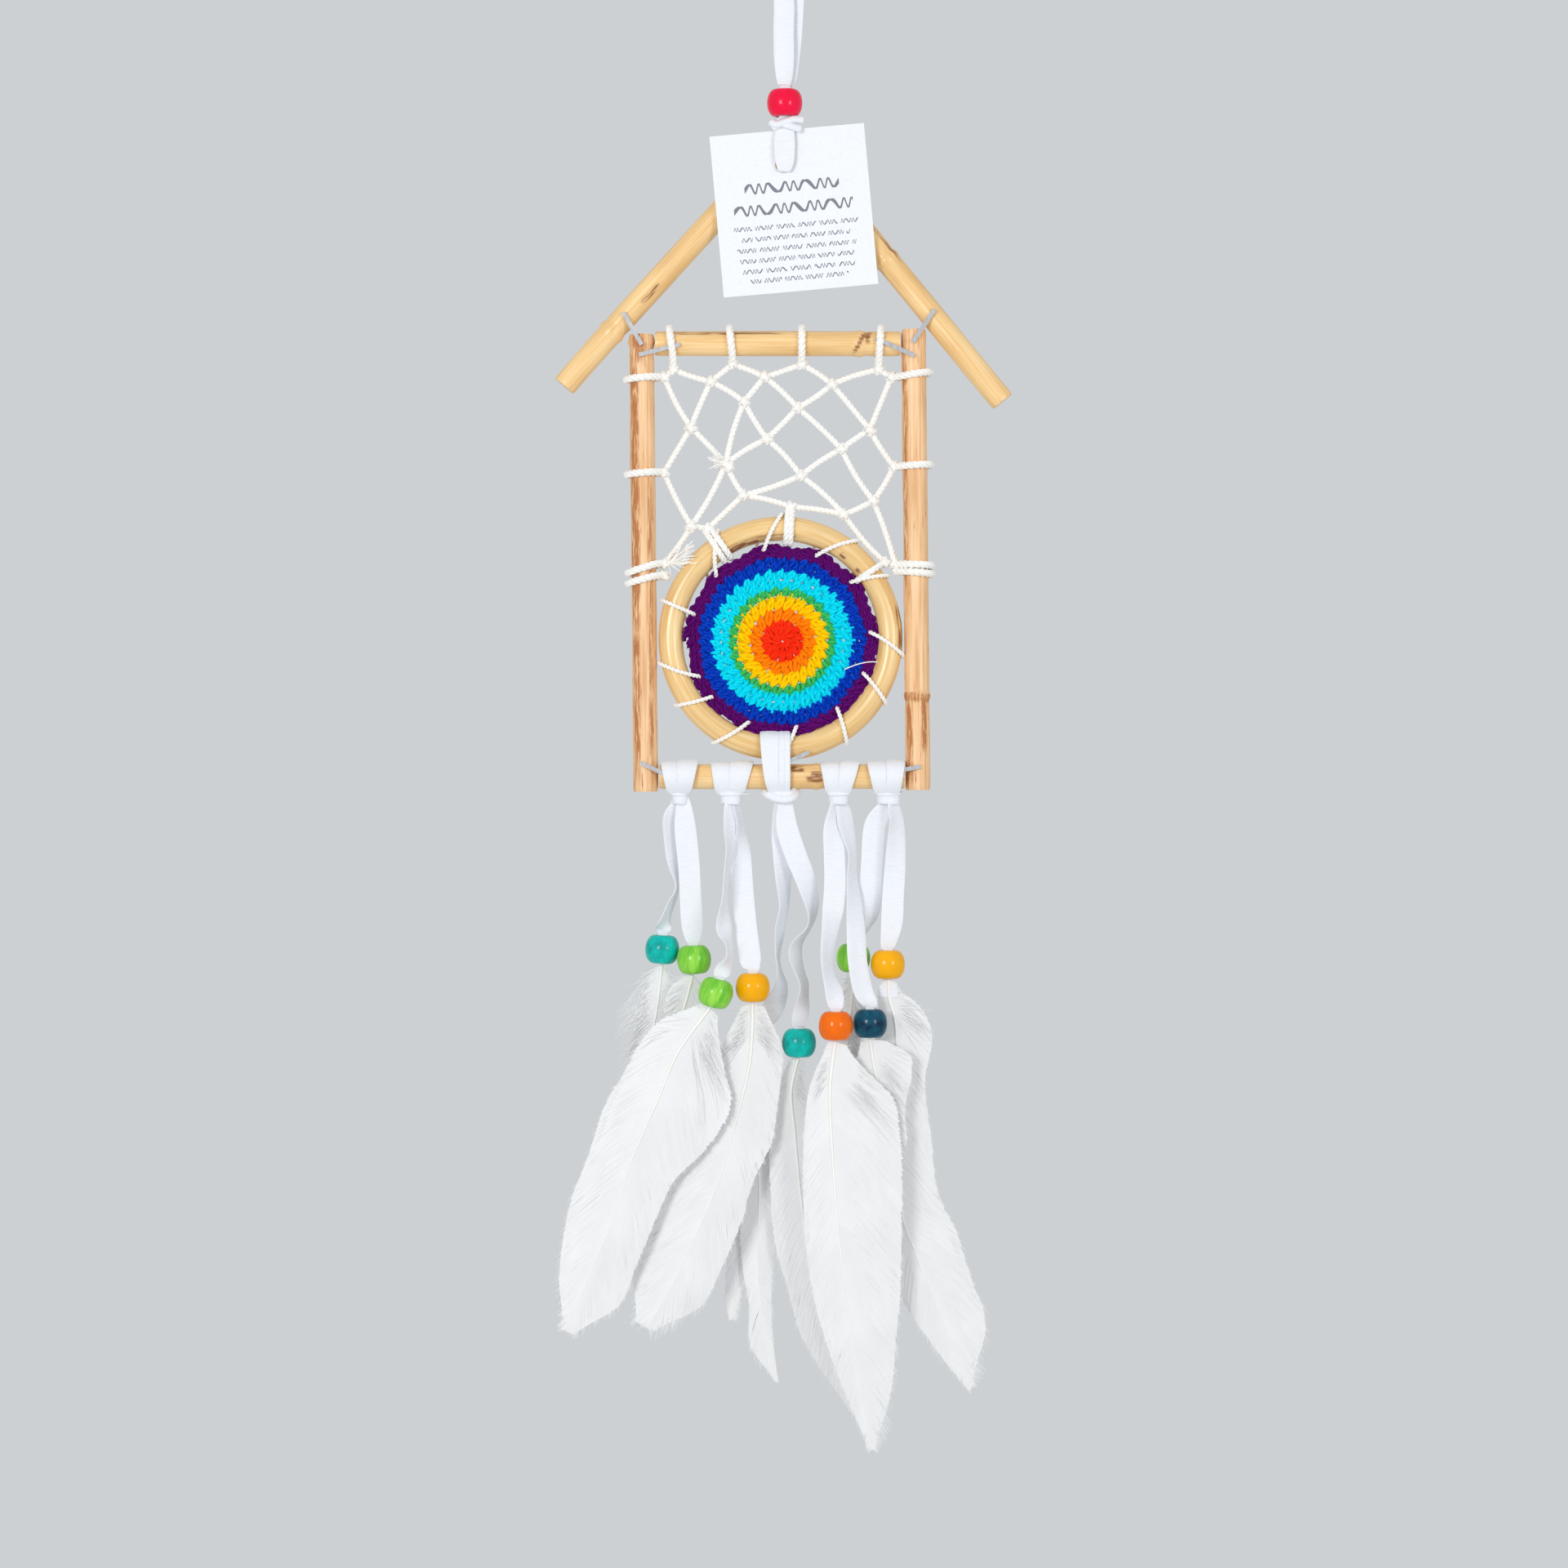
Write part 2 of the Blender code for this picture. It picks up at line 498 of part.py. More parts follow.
def flat_net(knots, runs):
    """The web between its loops: flat-sided cord runs that share corners at each knot."""
    around = {name: [] for name in knots}
    for first, second in runs:
        around[first].append(second)
        around[second].append(first)
    corner = {}
    bm = bmesh.new()

    def both_sides(point):
        return tuple(bm.verts.new(in_plane(point, y)) for y in (-NET_HALF_DEPTH, NET_HALF_DEPTH))

    for name, others in around.items():
        here = Vector(knots[name])
        angle_to = {other: math.atan2(*reversed(Vector(knots[other]) - here)) for other in others}
        order = sorted(others, key=angle_to.get)
        for i, other in enumerate(order):
            following = order[(i + 1) % len(order)]
            spread = (angle_to[following] - angle_to[other]) % (2 * math.pi)
            if len(order) == 1:
                direction = angle_to[other]
                for turn, key in ((math.pi / 2, "left"), (-math.pi / 2, "right")):
                    offset = Vector((math.cos(direction + turn), math.sin(direction + turn)))
                    corner[name, other, key] = both_sides(here + NET_HALF_WIDTH * offset)
                continue
            middle = angle_to[other] + spread / 2
            reach = min(NET_HALF_WIDTH / math.sin(spread / 2), KNOT_REACH)
            made = both_sides(here + reach * Vector((math.cos(middle), math.sin(middle))))
            corner[name, other, "left"] = made
            corner[name, following, "right"] = made
        hub = [corner[name, other, "left"] for other in order]
        if len(order) > 2:
            bm.faces.new([pair[0] for pair in hub])
            bm.faces.new([pair[1] for pair in hub])
        if len(order) == 1:
            left, right = corner[name, order[0], "left"], corner[name, order[0], "right"]
            bm.faces.new((left[0], left[1], right[1], right[0]))
    for first, second in runs:
        a_left, a_right = corner[first, second, "left"], corner[first, second, "right"]
        b_left, b_right = corner[second, first, "left"], corner[second, first, "right"]
        bm.faces.new((a_left[0], a_right[0], b_left[0], b_right[0]))
        bm.faces.new((a_left[1], a_right[1], b_left[1], b_right[1]))
        bm.faces.new((a_left[0], a_left[1], b_right[1], b_right[0]))
        bm.faces.new((a_right[0], a_right[1], b_left[1], b_left[0]))
    return bm


def stick_axis(name, knot):
    """Centre of the loop that ties this knot to the stick, and the direction of the stick there."""
    if name == "cane_hoop":
        away = Vector(knot) - Vector(HOOP_CENTRE)
        degrees = math.degrees(math.atan2(away.y, away.x))
        centre = hoop_point(HOOP_RING_R, degrees)
        return (centre.x, centre.z), Vector((-away.y, away.x)).normalized()
    start, end = Vector(STICKS[name][0]), Vector(STICKS[name][-1])
    along = (end - start).normalized()
    return tuple(start + along * (Vector(knot) - start).dot(along)), along


def make_web():
    knots = {name: (x, TOP_BAR_Z - drop) for name, (x, drop) in WEB_KNOTS.items()}
    runs = [tuple(run.split("-")) for run in WEB_RUNS.split()]
    loops = []
    for name, stick, ring_r in WEB_LOOPS:
        centre, along = stick_axis(stick, knots[name])
        out = (Vector(knots[name]) - Vector(centre)).normalized()
        knots[name + "_loop"] = tuple(Vector(centre) + out * (ring_r - LOOP_REACH))
        runs.append((name, name + "_loop"))
        loops.append(ring_of(in_plane(centre), in_plane(along), ring_r, CORD_R))
    web = add_node("web_cord", flat_net(knots, runs), material("cotton", 0.9))
    for loop in loops:
        combine(web, loop, "UNION")


def make_disc():
    """The crocheted disc, with a hole for each stitch and notches for the cord loops and the ribbon."""
    half = DISC_THICKNESS / 2
    flat_r, flat_y = DISC_R - DISC_RIM, half - DISC_RIM
    profile = ((flat_r, -half), (DISC_R, -flat_y), (DISC_R, flat_y), (flat_r, half))
    turns = [360 * i / HOOP_STEPS for i in range(HOOP_STEPS)]
    rings = [[hoop_point(radius, turn, y) for turn in turns] for radius, y in profile]
    disc = add_node("crochet_disc", skin(rings), material("crochet", 0.85))
    cutters = []
    for _, inner in STITCHES:
        ends = [hoop_point(STITCH_HOLE_R, inner, y) for y in (-DISC_THICKNESS, DISC_THICKNESS)]
        cutters.append(tube(ends, THREAD_R + GAP, 8))
    for knot in ("e1", "e2", "e4"):
        x, drop = WEB_KNOTS[knot]
        away = Vector((x, TOP_BAR_Z - drop)) - Vector(HOOP_CENTRE)
        angle = math.atan2(away.y, away.x)
        notch = box((HOOP_RING_R - BAR_LOOP_R - CORD_R - GAP, -half - 1, -CORD_R - GAP),
                    (DISC_R + 2, half + 1, CORD_R + GAP))
        notch.transform(Matrix.Translation(in_plane(HOOP_CENTRE)) @ Matrix.Rotation(-angle, 4, "Y"))
        cutters.append(notch)
    left, right = HITCHES[HOOP_TIE][:2]
    floor = HOOP_CENTRE[1] - DISC_R - 2
    ceiling = HOOP_TIE_TOP + HITCH_THICKNESS + GAP
    cutters.append(box((left - GAP, -half - 1, floor), (right + GAP, half + 1, ceiling)))
    combine(disc, join_shapes(*cutters), "DIFFERENCE")


def make_lashing():
    """One thread: over the hoop, through the disc's edge, and along the back to the next stitch."""
    clear = HOOP_CANE_R + 2 * GAP + THREAD_R
    lean = clear * math.sqrt(0.5)
    back = DISC_THICKNESS / 2 + GAP + THREAD_R
    points = []
    for i, (outside, inside) in enumerate(STITCHES):
        middle = (outside + inside) / 2
        points += [
            hoop_point(STITCH_HOLE_R, inside, back), hoop_point(STITCH_HOLE_R, inside, -back),
            hoop_point(HOOP_RING_R - lean, (middle + inside) / 2, -clear * 0.88),
            hoop_point(HOOP_RING_R, middle, -clear), hoop_point(HOOP_RING_R + lean, outside, -lean),
            hoop_point(HOOP_RING_R + clear, outside, 0.0), hoop_point(HOOP_RING_R + lean, outside, lean),
            hoop_point(HOOP_RING_R, middle, clear),
            hoop_point(HOOP_RING_R - lean, inside + 3, clear * 0.9),
            hoop_point(STITCH_RUN_R, inside + 4, back + 0.6),
        ]
        if i + 1 < len(STITCHES):
            next_inside = STITCHES[i + 1][1]
            steps = max(1, round((next_inside - inside) / 12))
            for step in range(1, steps):
                angle = inside + 4 + (next_inside - inside - 4) * step / steps
                points.append(hoop_point(STITCH_RUN_R, angle, back + 0.3))
    add_node("hoop_lashing", tube(points, THREAD_R, THREAD_SIDES), material("cotton", 0.9))


def make_tag():
    hinge = add_pivot("tag_pivot", (CARD_HOLE[0], CARD_Y, CARD_HOLE[1]))
    width, height = CARD_SIZE
    bm = box((-width / 2, -CARD_THICKNESS / 2, -height / 2), (width / 2, CARD_THICKNESS / 2, height / 2))
    tilt = Matrix.Rotation(-math.radians(CARD_TILT), 4, "Y")
    bm.transform(Matrix.Translation(in_plane(CARD_CENTRE, CARD_Y)) @ tilt)
    card = add_node("tag_card", bm, material("card", 0.7), hinge)
    ends = [in_plane(CARD_HOLE, CARD_Y - 2), in_plane(CARD_HOLE, CARD_Y + 2)]
    combine(card, tube(ends, CARD_HOLE_R, 20), "DIFFERENCE")


def make_hanging_ribbon():
    ribbon = add_node("hanging_ribbon", tape(BEAD_BUNDLE, 2), material("tape", 0.8))
    combine(ribbon, tape(UPPER_LOOP, 4), "UNION")
    combine(ribbon, tape(LOWER_LOOP, 2), "UNION")
    combine(ribbon, ball(RIBBON_KNOT, RIBBON_KNOT_SIZE), "UNION")


def bead_shape(size, centre, tilt=0.0, steps=6, mouth=0.5):
    """A turned wooden bead: a barrel with well rounded shoulders and a straight bore."""
    radius, height, bore = size
    half = height / 2
    rings = []
    for step in range(steps):
        angle = math.pi * (step / (steps - 1) - 0.5)
        flare = math.copysign(abs(math.sin(angle)) ** 0.8, math.sin(angle))
        bulge = (radius - bore - mouth) * math.cos(angle) ** 0.6
        rings.append((bore + mouth + bulge, half * flare))
    rings += [(bore, half - mouth), (bore, mouth - half)]
    turns = [2 * math.pi * i / BEAD_SIDES for i in range(BEAD_SIDES)]
    circles = [[Vector((r * math.cos(a), r * math.sin(a), z)) for a in turns] for r, z in rings]
    bm = skin(circles, closed=True)
    bm.transform(Matrix.Translation(centre) @ Matrix.Rotation(math.radians(tilt), 4, "Y"))
    return bm


def hitch_outline(radius, rise, steps=10):
    """Outline across the bar, as (y, z): a circle whose upper half is lifted by the rise."""
    angles = [math.pi * i / steps for i in range(steps + 1)]
    upper = [(radius * math.cos(a), BOTTOM_BAR_Z + rise + radius * math.sin(a)) for a in angles]
    lower = [(-radius * math.cos(a), BOTTOM_BAR_Z - radius * math.sin(a)) for a in angles]
    return upper + lower if rise else upper[:-1] + lower[:-1]


def hitch_shape(left, right, inner, rise):
    """The ribbon's wraps round the bar, as a sleeve with one edge at each side."""
    inside = hitch_outline(inner, rise)
    outside = hitch_outline(inner + HITCH_THICKNESS, rise)
    rings = [
        [Vector((x, y, z)) for y, z in outline]
        for x, outline in ((left, outside), (right, outside), (right, inside), (left, inside))
    ]
    return skin(rings, closed=True)


def make_hitches():
    """Each hitch turns on the bottom bar, apart from the one that also holds the hoop."""
    made = {}
    for name, (left, right, knot_x, inner) in HITCHES.items():
        fixed = name == HOOP_TIE
        hinge = None if fixed else add_pivot(name + "_pivot", (knot_x, 0.0, BOTTOM_BAR_Z))
        rise = HOOP_TIE_TOP - inner - BOTTOM_BAR_Z if fixed else 0.0
        hitch = add_node(name, hitch_shape(left, right, inner, rise), material("tape", 0.8), hinge)
        knot = (knot_x, 0.0, BOTTOM_BAR_Z - KNOT_DROP)
        combine(hitch, ball(knot, KNOT_SIZE), "UNION")
        made[name] = hinge
    return made


def bead_axis(tilt):
    angle = math.radians(tilt)
    return Vector((math.sin(angle), 0.0, math.cos(angle)))


def tail_rows(pendant):
    """The tape from under the knot into the top half of the bead's bore."""
    x, y, z, tilt = pendant["bead"]
    up = bead_axis(tilt)
    centre = Vector((x, y, z))
    rows = []
    for i, (px, py, pz, turn) in enumerate(pendant["tail"]):
        width = TAPE_WIDTH if i else TAPE_AT_KNOT
        rows.append((px, py, pz + BOTTOM_BAR_Z, width, TAPE_THICKNESS, turn))
    for height, width in TAIL_IN_BEAD:
        point = centre + up * height
        rows.append((point.x, point.y, point.z + BOTTOM_BAR_Z, width, TAIL_END_THICKNESS, 0.0))
    return rows


def feather_rows(pendant):
    """The quill from the bead's middle, then the vane's width down to its tip."""
    x, y, z, tilt = pendant["bead"]
    up = bead_axis(tilt)
    centre = Vector((x, y, z))
    rows = []
    for drop in QUILL_DROPS:
        point = centre - up * drop
        rows.append((point.x, point.y, point.z + BOTTOM_BAR_Z, *QUILL_SIZE, 0.0))
    for px, py, pz, width in pendant["feather"]:
        rows.append((px, py, pz + BOTTOM_BAR_Z, width, VANE_THICKNESS, 0.0))
    return rows


def make_pendants(hitch_pivots):
    """The inner pendant of each pair rides with its hitch, and the outer one also turns at the knot."""
    for number, pendant in sorted(PENDANTS.items(), key=lambda item: item[1]["hangs"][1]):
        hitch, own_hinge = pendant["hangs"]
        knot = (HITCHES[hitch][2], 0.0, BOTTOM_BAR_Z - KNOT_DROP)
        if hitch_pivots[hitch] is None:
            hitch_pivots[hitch] = add_pivot(f"pendant_{number}_pivot", knot)
        pivot = hitch_pivots[hitch]
        if own_hinge:
            pivot = add_pivot(f"pendant_{number}_pivot", knot, pivot)
        x, y, z, tilt = pendant["bead"]
        colour = material(pendant["colour"], 0.25)
        bead = bead_shape(BEAD, (x, y, z + BOTTOM_BAR_Z), tilt)
        add_node(f"ribbon_tail_{number}", tape(tail_rows(pendant)), material("tape", 0.8), pivot)
        add_node(f"bead_{number}", bead, colour, pivot)
        add_node(f"feather_{number}", tape(feather_rows(pendant), 2), material("feather", 0.7), pivot)


def make_red_bead():
    slide = add_pivot("red_bead_pivot", RED_BEAD_AT)
    add_node("bead_red", bead_shape(RED_BEAD, RED_BEAD_AT), material("red", 0.2), slide)


def main():
    for obj in list(bpy.data.objects):
        bpy.data.objects.remove(obj)
    pieces = dict(make_sticks())
    pieces["cane_hoop"] = make_hoop()
    make_staples(pieces)
    make_disc()
    make_lashing()
    make_web()
    make_tag()
    make_hanging_ribbon()
    make_red_bead()
    make_pendants(make_hitches())


main()
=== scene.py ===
"""The looks of the hanging dream catcher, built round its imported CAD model.

Every piece is made in mesh code. Tables are in millimetres in the model's own frame: the origin is the
inside top of the hanging loop, +Z is up, +X is to the right and -Y faces the viewer. Sticks, web and beads
lie where the CAD model has them. The disc, the lashing's stitches and the folds of the ribbons follow closer
measures, so the disc lies up to a millimetre away, and some stitches further round the hoop.
"""

import math
import random
from math import cos, pi, radians, sin

import bmesh
import bpy
from mathutils import Matrix, Vector, noise


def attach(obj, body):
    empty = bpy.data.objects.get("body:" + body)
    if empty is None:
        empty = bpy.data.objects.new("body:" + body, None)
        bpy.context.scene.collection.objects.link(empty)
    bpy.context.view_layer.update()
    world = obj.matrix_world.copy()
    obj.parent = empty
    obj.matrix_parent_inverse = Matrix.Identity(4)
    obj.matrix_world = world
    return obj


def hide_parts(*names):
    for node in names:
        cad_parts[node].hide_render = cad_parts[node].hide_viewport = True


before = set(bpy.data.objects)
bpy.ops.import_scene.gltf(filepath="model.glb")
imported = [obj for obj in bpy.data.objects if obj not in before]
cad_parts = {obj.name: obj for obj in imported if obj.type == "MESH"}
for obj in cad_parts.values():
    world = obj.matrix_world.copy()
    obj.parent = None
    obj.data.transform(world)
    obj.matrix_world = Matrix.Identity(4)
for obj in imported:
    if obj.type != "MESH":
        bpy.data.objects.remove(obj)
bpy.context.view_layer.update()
MM = 0.001
ACROSS = Vector((1.0, 0.0, 0.0))
FRONT = Vector((0.0, -1.0, 0.0))
UP = Vector((0.0, 0.0, 1.0))

# ---------------------------------------------------------------- sizes and places, in millimetres
STICK_R = 3.55
HOOP_RING_R = 31.35
HOOP_CANE_R = 3.5
HOOP_CENTRE = (-1.0, -208.1)
TOP_BAR_Z = -123.9
BOTTOM_BAR_Z = -247.6
KNOT_Z = BOTTOM_BAR_Z - 6.3
TAPE_WIDTH = 6.1
CORD_R = 0.85
# How far wood strays from round, how a stick's ends are eased, and how its nodes swell and then dip
WOOD_ROUGH, POST_ROUGH = 0.10, 0.06
STICK_STEP = 0.6
END_ROUND, END_REACH = 0.25, 0.4
NODE_SWELL, NODE_DIP, NODE_REACH, NODE_TO_DIP = 0.30, 0.16, 0.9, 2.0
WIRE_ROUND = 0.00022
# Twisted cord: steps in one pitch, and the place and size of a ply as shares of the cord's radius
STEPS_PER_PITCH, PLY_PLACE, PLY_SIZE = 7, 0.5, 0.56
STRIP_STEPS = (-1.0, -0.94, -0.7, -0.35, 0.0, 0.35, 0.7, 0.94, 1.0)
QUARTERS = (0.0, 0.25, 0.5, 0.75, 1.0)
TAPE_THICKNESS = 0.5
# Feathers: quill at the bead and at its tip, and half the thickness of a vane and of its down
QUILL_R, QUILL_TIP_R = 0.48, 0.08
VANE_HALF, DOWN_R = 0.11, 0.13

# Sticks: wood, centre line (x, z) and where each swollen node sits, in mm from the first point
STICKS = {
    "roof_stick_left": ("cane", ((-62.8, -136.0), (-49.2, -120.5), (-2.0, -68.7)), (20.5,)),
    "roof_stick_right": ("cane", ((62.5, -140.4), (3.7, -68.8)), (52.0,)),
    "post_left": ("post", ((-40.7, -121.3), (-39.5, -251.9)), (2.2,)),
    "post_right": ("post", ((37.0, -119.9), (38.3, -251.4)), (104.5,)),
    "top_bar": ("cane", ((-36.8, TOP_BAR_Z), (33.15, TOP_BAR_Z)), (58.5,)),
    "bottom_bar": ("cane", ((-35.6, BOTTOM_BAR_Z), (34.4, BOTTOM_BAR_Z)), (45.0,)),
}

# Dark marks on the wood: stick, place along it (degrees on the hoop), reach along it, side of it in degrees
# (180 is the front), breadth in degrees, slope of the mark across the stick, and strength
STAINS = (
    ("post_left", 45.0, 46.0, 222, 34, 0.0, 1.5), ("post_left", 104.0, 26.0, 220, 26, 0.0, 1.2),
    ("post_left", 82.0, 50.0, 146, 18, 0.0, 0.9), ("post_left", 4.0, 6.0, 196, 40, 0.0, 1.0),
    ("post_right", 105.0, 1.4, 180, 170, 0.3, 1.4), ("post_right", 118.0, 14.0, 222, 24, 0.0, 1.3),
    ("post_right", 112.0, 10.0, 146, 22, 0.0, 1.2), ("post_right", 40.0, 42.0, 234, 22, 0.0, 1.0),
    ("top_bar", 58.6, 0.6, 180, 80, 2.0, 1.2), ("top_bar", 60.8, 0.8, 150, 40, 0.5, 1.2),
    ("top_bar", 20.0, 18.0, 128, 14, 0.0, 1.0), ("bottom_bar", 39.4, 2.2, 140, 18, 0.0, 2.0),
    ("bottom_bar", 44.4, 2.6, 192, 16, 0.0, 2.0), ("bottom_bar", 45.0, 1.6, 172, 16, 0.0, 2.0),
    ("cane_hoop", 114.0, 13.0, 146, 15, 0.0, 2.0), ("cane_hoop", 118.0, 10.0, 166, 12, 0.0, 1.5),
    ("cane_hoop", 50.6, 2.2, 124, 17, 2.5, 1.2), ("cane_hoop", 43.0, 1.6, 130, 15, -2.5, 1.3),
    ("cane_hoop", 100.0, 24.0, 130, 14, 0.0, 1.0), ("cane_hoop", 5.0, 12.0, 30, 26, 0.0, 1.2),
    ("roof_stick_left", 36.0, 4.0, 200, 12, 0.0, 1.6), ("roof_stick_right", 62.0, 14.0, 230, 14, 0.0, 1.2),
)

# The web's knots as (x, drop below the top bar's centre line), and the runs between them
WEB_KNOTS = {
    "t1": (-31.6, 7.4), "t2": (-14.7, 5.9), "t3": (5.0, 5.9), "t4": (27.0, 7.4),
    "l1": (-34.2, 9.6), "l2": (-34.3, 36.8), "l3": (-34.2, 62.8),
    "r1": (30.7, 9.6), "r2": (31.4, 35.1), "r3": (31.7, 63.0),
    "a1": (-20.9, 10.8), "a2": (-5.5, 9.5), "a3": (13.7, 11.6),
    "b1": (-26.6, 23.9), "b2": (-11.4, 16.6), "b3": (3.9, 18.3), "b4": (24.5, 24.6),
    "c1": (-16.6, 34.3), "c2": (-4.9, 27.2), "c3": (16.4, 30.1),
    "d1": (-26.5, 52.2), "d2": (-11.6, 43.3), "d3": (4.8, 37.7), "d4": (25.5, 44.9),
    "e1": (-21.7, 52.9), "e2": (1.9, 46.6), "e3": (17.1, 48.8), "e4": (28.8, 62.5),
}
WEB_RUNS = (
    "l1-t1 t1-a1 a1-t2 t2-a2 a2-t3 t3-a3 a3-t4 t4-r1 l1-b1 a1-b1 a1-b2 a2-b2 a2-b3 a3-b3 a3-b4 "
    "r1-b4 b1-l2 b1-c1 b2-c1 b2-c2 b3-c2 b3-c3 b4-c3 b4-r2 c2-c1 c2-d3 c3-d3 c3-d4 r2-d4 l2-d1 "
    "c1-d1 c1-d2 d3-d2 d3-e3 e3-d4 d2-e1 d1-e1 d1-l3 d2-e2 e2-e3 e3-e4 e4-r3 d4-r3"
)
BIG_KNOTS = ("c1", "b1", "b4", "d1")
# Sizes of knots, lengths of a twist in the runs and loops, and the loops' thickness on cane and on wood
KNOT_SIZE, BIG_KNOT_SIZE = 1.15, 1.3
RUN_PITCH, LOOP_PITCH = 4.2, 4.8
THICK_ON_HOOP, THICK_ON_STICK = 1.1, 1.3
# Loops round a stick: knot, stick, and how far along the stick the near and the far side lie from it
WEB_LOOPS = (
    ("t1", "top_bar", 0.0, -1.1), ("t2", "top_bar", 0.0, -0.8), ("t3", "top_bar", 0.0, 0.2),
    ("t4", "top_bar", 0.0, 0.7), ("l1", "post_left", 0.0, 0.6), ("l2", "post_left", 0.0, 0.5),
    ("l3", "post_left", 0.0, 2.6), ("l3", "post_left", 3.4, 5.6), ("r1", "post_right", 0.0, -1.2),
    ("r2", "post_right", 0.0, -0.3), ("r3", "post_right", 0.0, 0.6), ("r3", "post_right", 2.0, 3.0),
    ("e1", "cane_hoop", -0.8, -0.8), ("e1", "cane_hoop", 1.0, 1.2), ("e2", "cane_hoop", -0.5, -0.6),
    ("e2", "cane_hoop", 0.55, 0.6), ("e4", "cane_hoop", 0.0, 0.5),
)

# Whip stitches that tie the disc into the hoop: (angle outside the hoop, angle at the disc's edge)
STITCHES = (
    (30, 38.5), (51.5, 66.5), (89, 100.5), (120, 135.5), (162, 164.5), (191, 205), (212.5, 220.5), (237, 249),
    (268, 280), (302, 309), (328, 337), (351.5, 363.7),
)
STITCH_HOLE_R = 25.8
STITCH_RUN_R = 25.2
THREAD_R = 0.62
# How far the thread stands off the cane, and behind the disc's middle
THREAD_CLEAR = 0.68
THREAD_BACK = 2.05
# A loose fibre on the hoop's right
WISP = ((17.3, -1.9, -217.0), (20.5, -2.3, -215.7), (24.0, -2.2, -214.9), (26.8, -2.0, -214.9))

# Rounds of the crochet: colour, inner and outer radius, stitches, strand radius, turn of the first stitch
ROUNDS = (
    ("red", 3.0, 6.3, 14, 1.0, 0.0), ("orange", 5.6, 9.9, 18, 1.05, 0.3), ("yellow", 8.9, 13.9, 26, 1.05, 0.1),
    ("green", 12.6, 15.7, 26, 0.92, 0.6), ("cyan", 14.7, 18.0, 32, 0.96, 0.2),
    ("cyan", 17.2, 20.8, 36, 0.96, 0.6),
    ("blue", 19.4, 22.4, 40, 0.88, 0.1), ("blue", 21.4, 24.7, 44, 0.88, 0.5),
    ("purple", 23.4, 25.7, 48, 0.80, 0.2),
)
# Chains along the rim: radius, stitches and strand radius
RIM_CHAINS = ((25.1, 54, 0.80), (26.4, 54, 0.84))
# Yarn: lengths of a twist in arms and rings, and the strands that fill a round: shares of its breadth, radius
ARM_PITCH, RING_PITCH = 4.6, 2.6
FILL_SHARES, FILL_R = (0.34, 0.62), 0.74
RIM_BULGE = 1.0
# From the CAD model's disc to this one
DISC_SHIFT = Vector((0.5, 0.0, -0.8))

# Ribbon hitches: left edge, seam and right edge over the bar and under it, then the collar's two edges, and
# how far the wraps stand in front of the bar and above it
HITCHES = {
    1: ((-35.2, -30.1, -24.5), (-33.6, -30.0, -26.2), (-31.9, -27.4), 5.4, 4.5),
    2: ((-21.0, -14.9, -8.7), (-19.8, -15.2, -11.0), (-18.0, -12.3), 4.4, 4.2),
    4: ((10.2, 16.5, 21.6), (11.7, 15.8, 19.3), (12.9, 18.4), 4.4, 4.2),
    5: ((23.6, 29.6, 34.5), (25.4, 29.8, 33.3), (26.7, 33.2), 5.5, 4.5),
}
COLLAR_HEIGHT = 3.3
# Height below which the wraps narrow to the collar
PINCH_TOP = -3.6
# The middle ribbon's strap over the hoop: its knot, top and right edge, its left edge from the top to the
# collar, and the front of its rolled collar from the knot and below the bar
HOOP_TIE_X, HOOP_TIE_TOP, HOOP_TIE_RIGHT = 0.2, -235.0, 1.8
HOOP_TIE_LEFT = (-6.9, -6.7, -6.4, -6.0, -5.4, -4.4)
HOOP_TIE_COLLAR = (
    (-6.0, 0.9, -3.9), (-5.3, -1.4, -4.9), (-2.8, -2.9, -6.1), (0.0, -3.3, -6.5),
    (2.0, -2.8, -6.1), (3.2, -1.2, -5.1), (3.6, 0.9, -4.3),
)

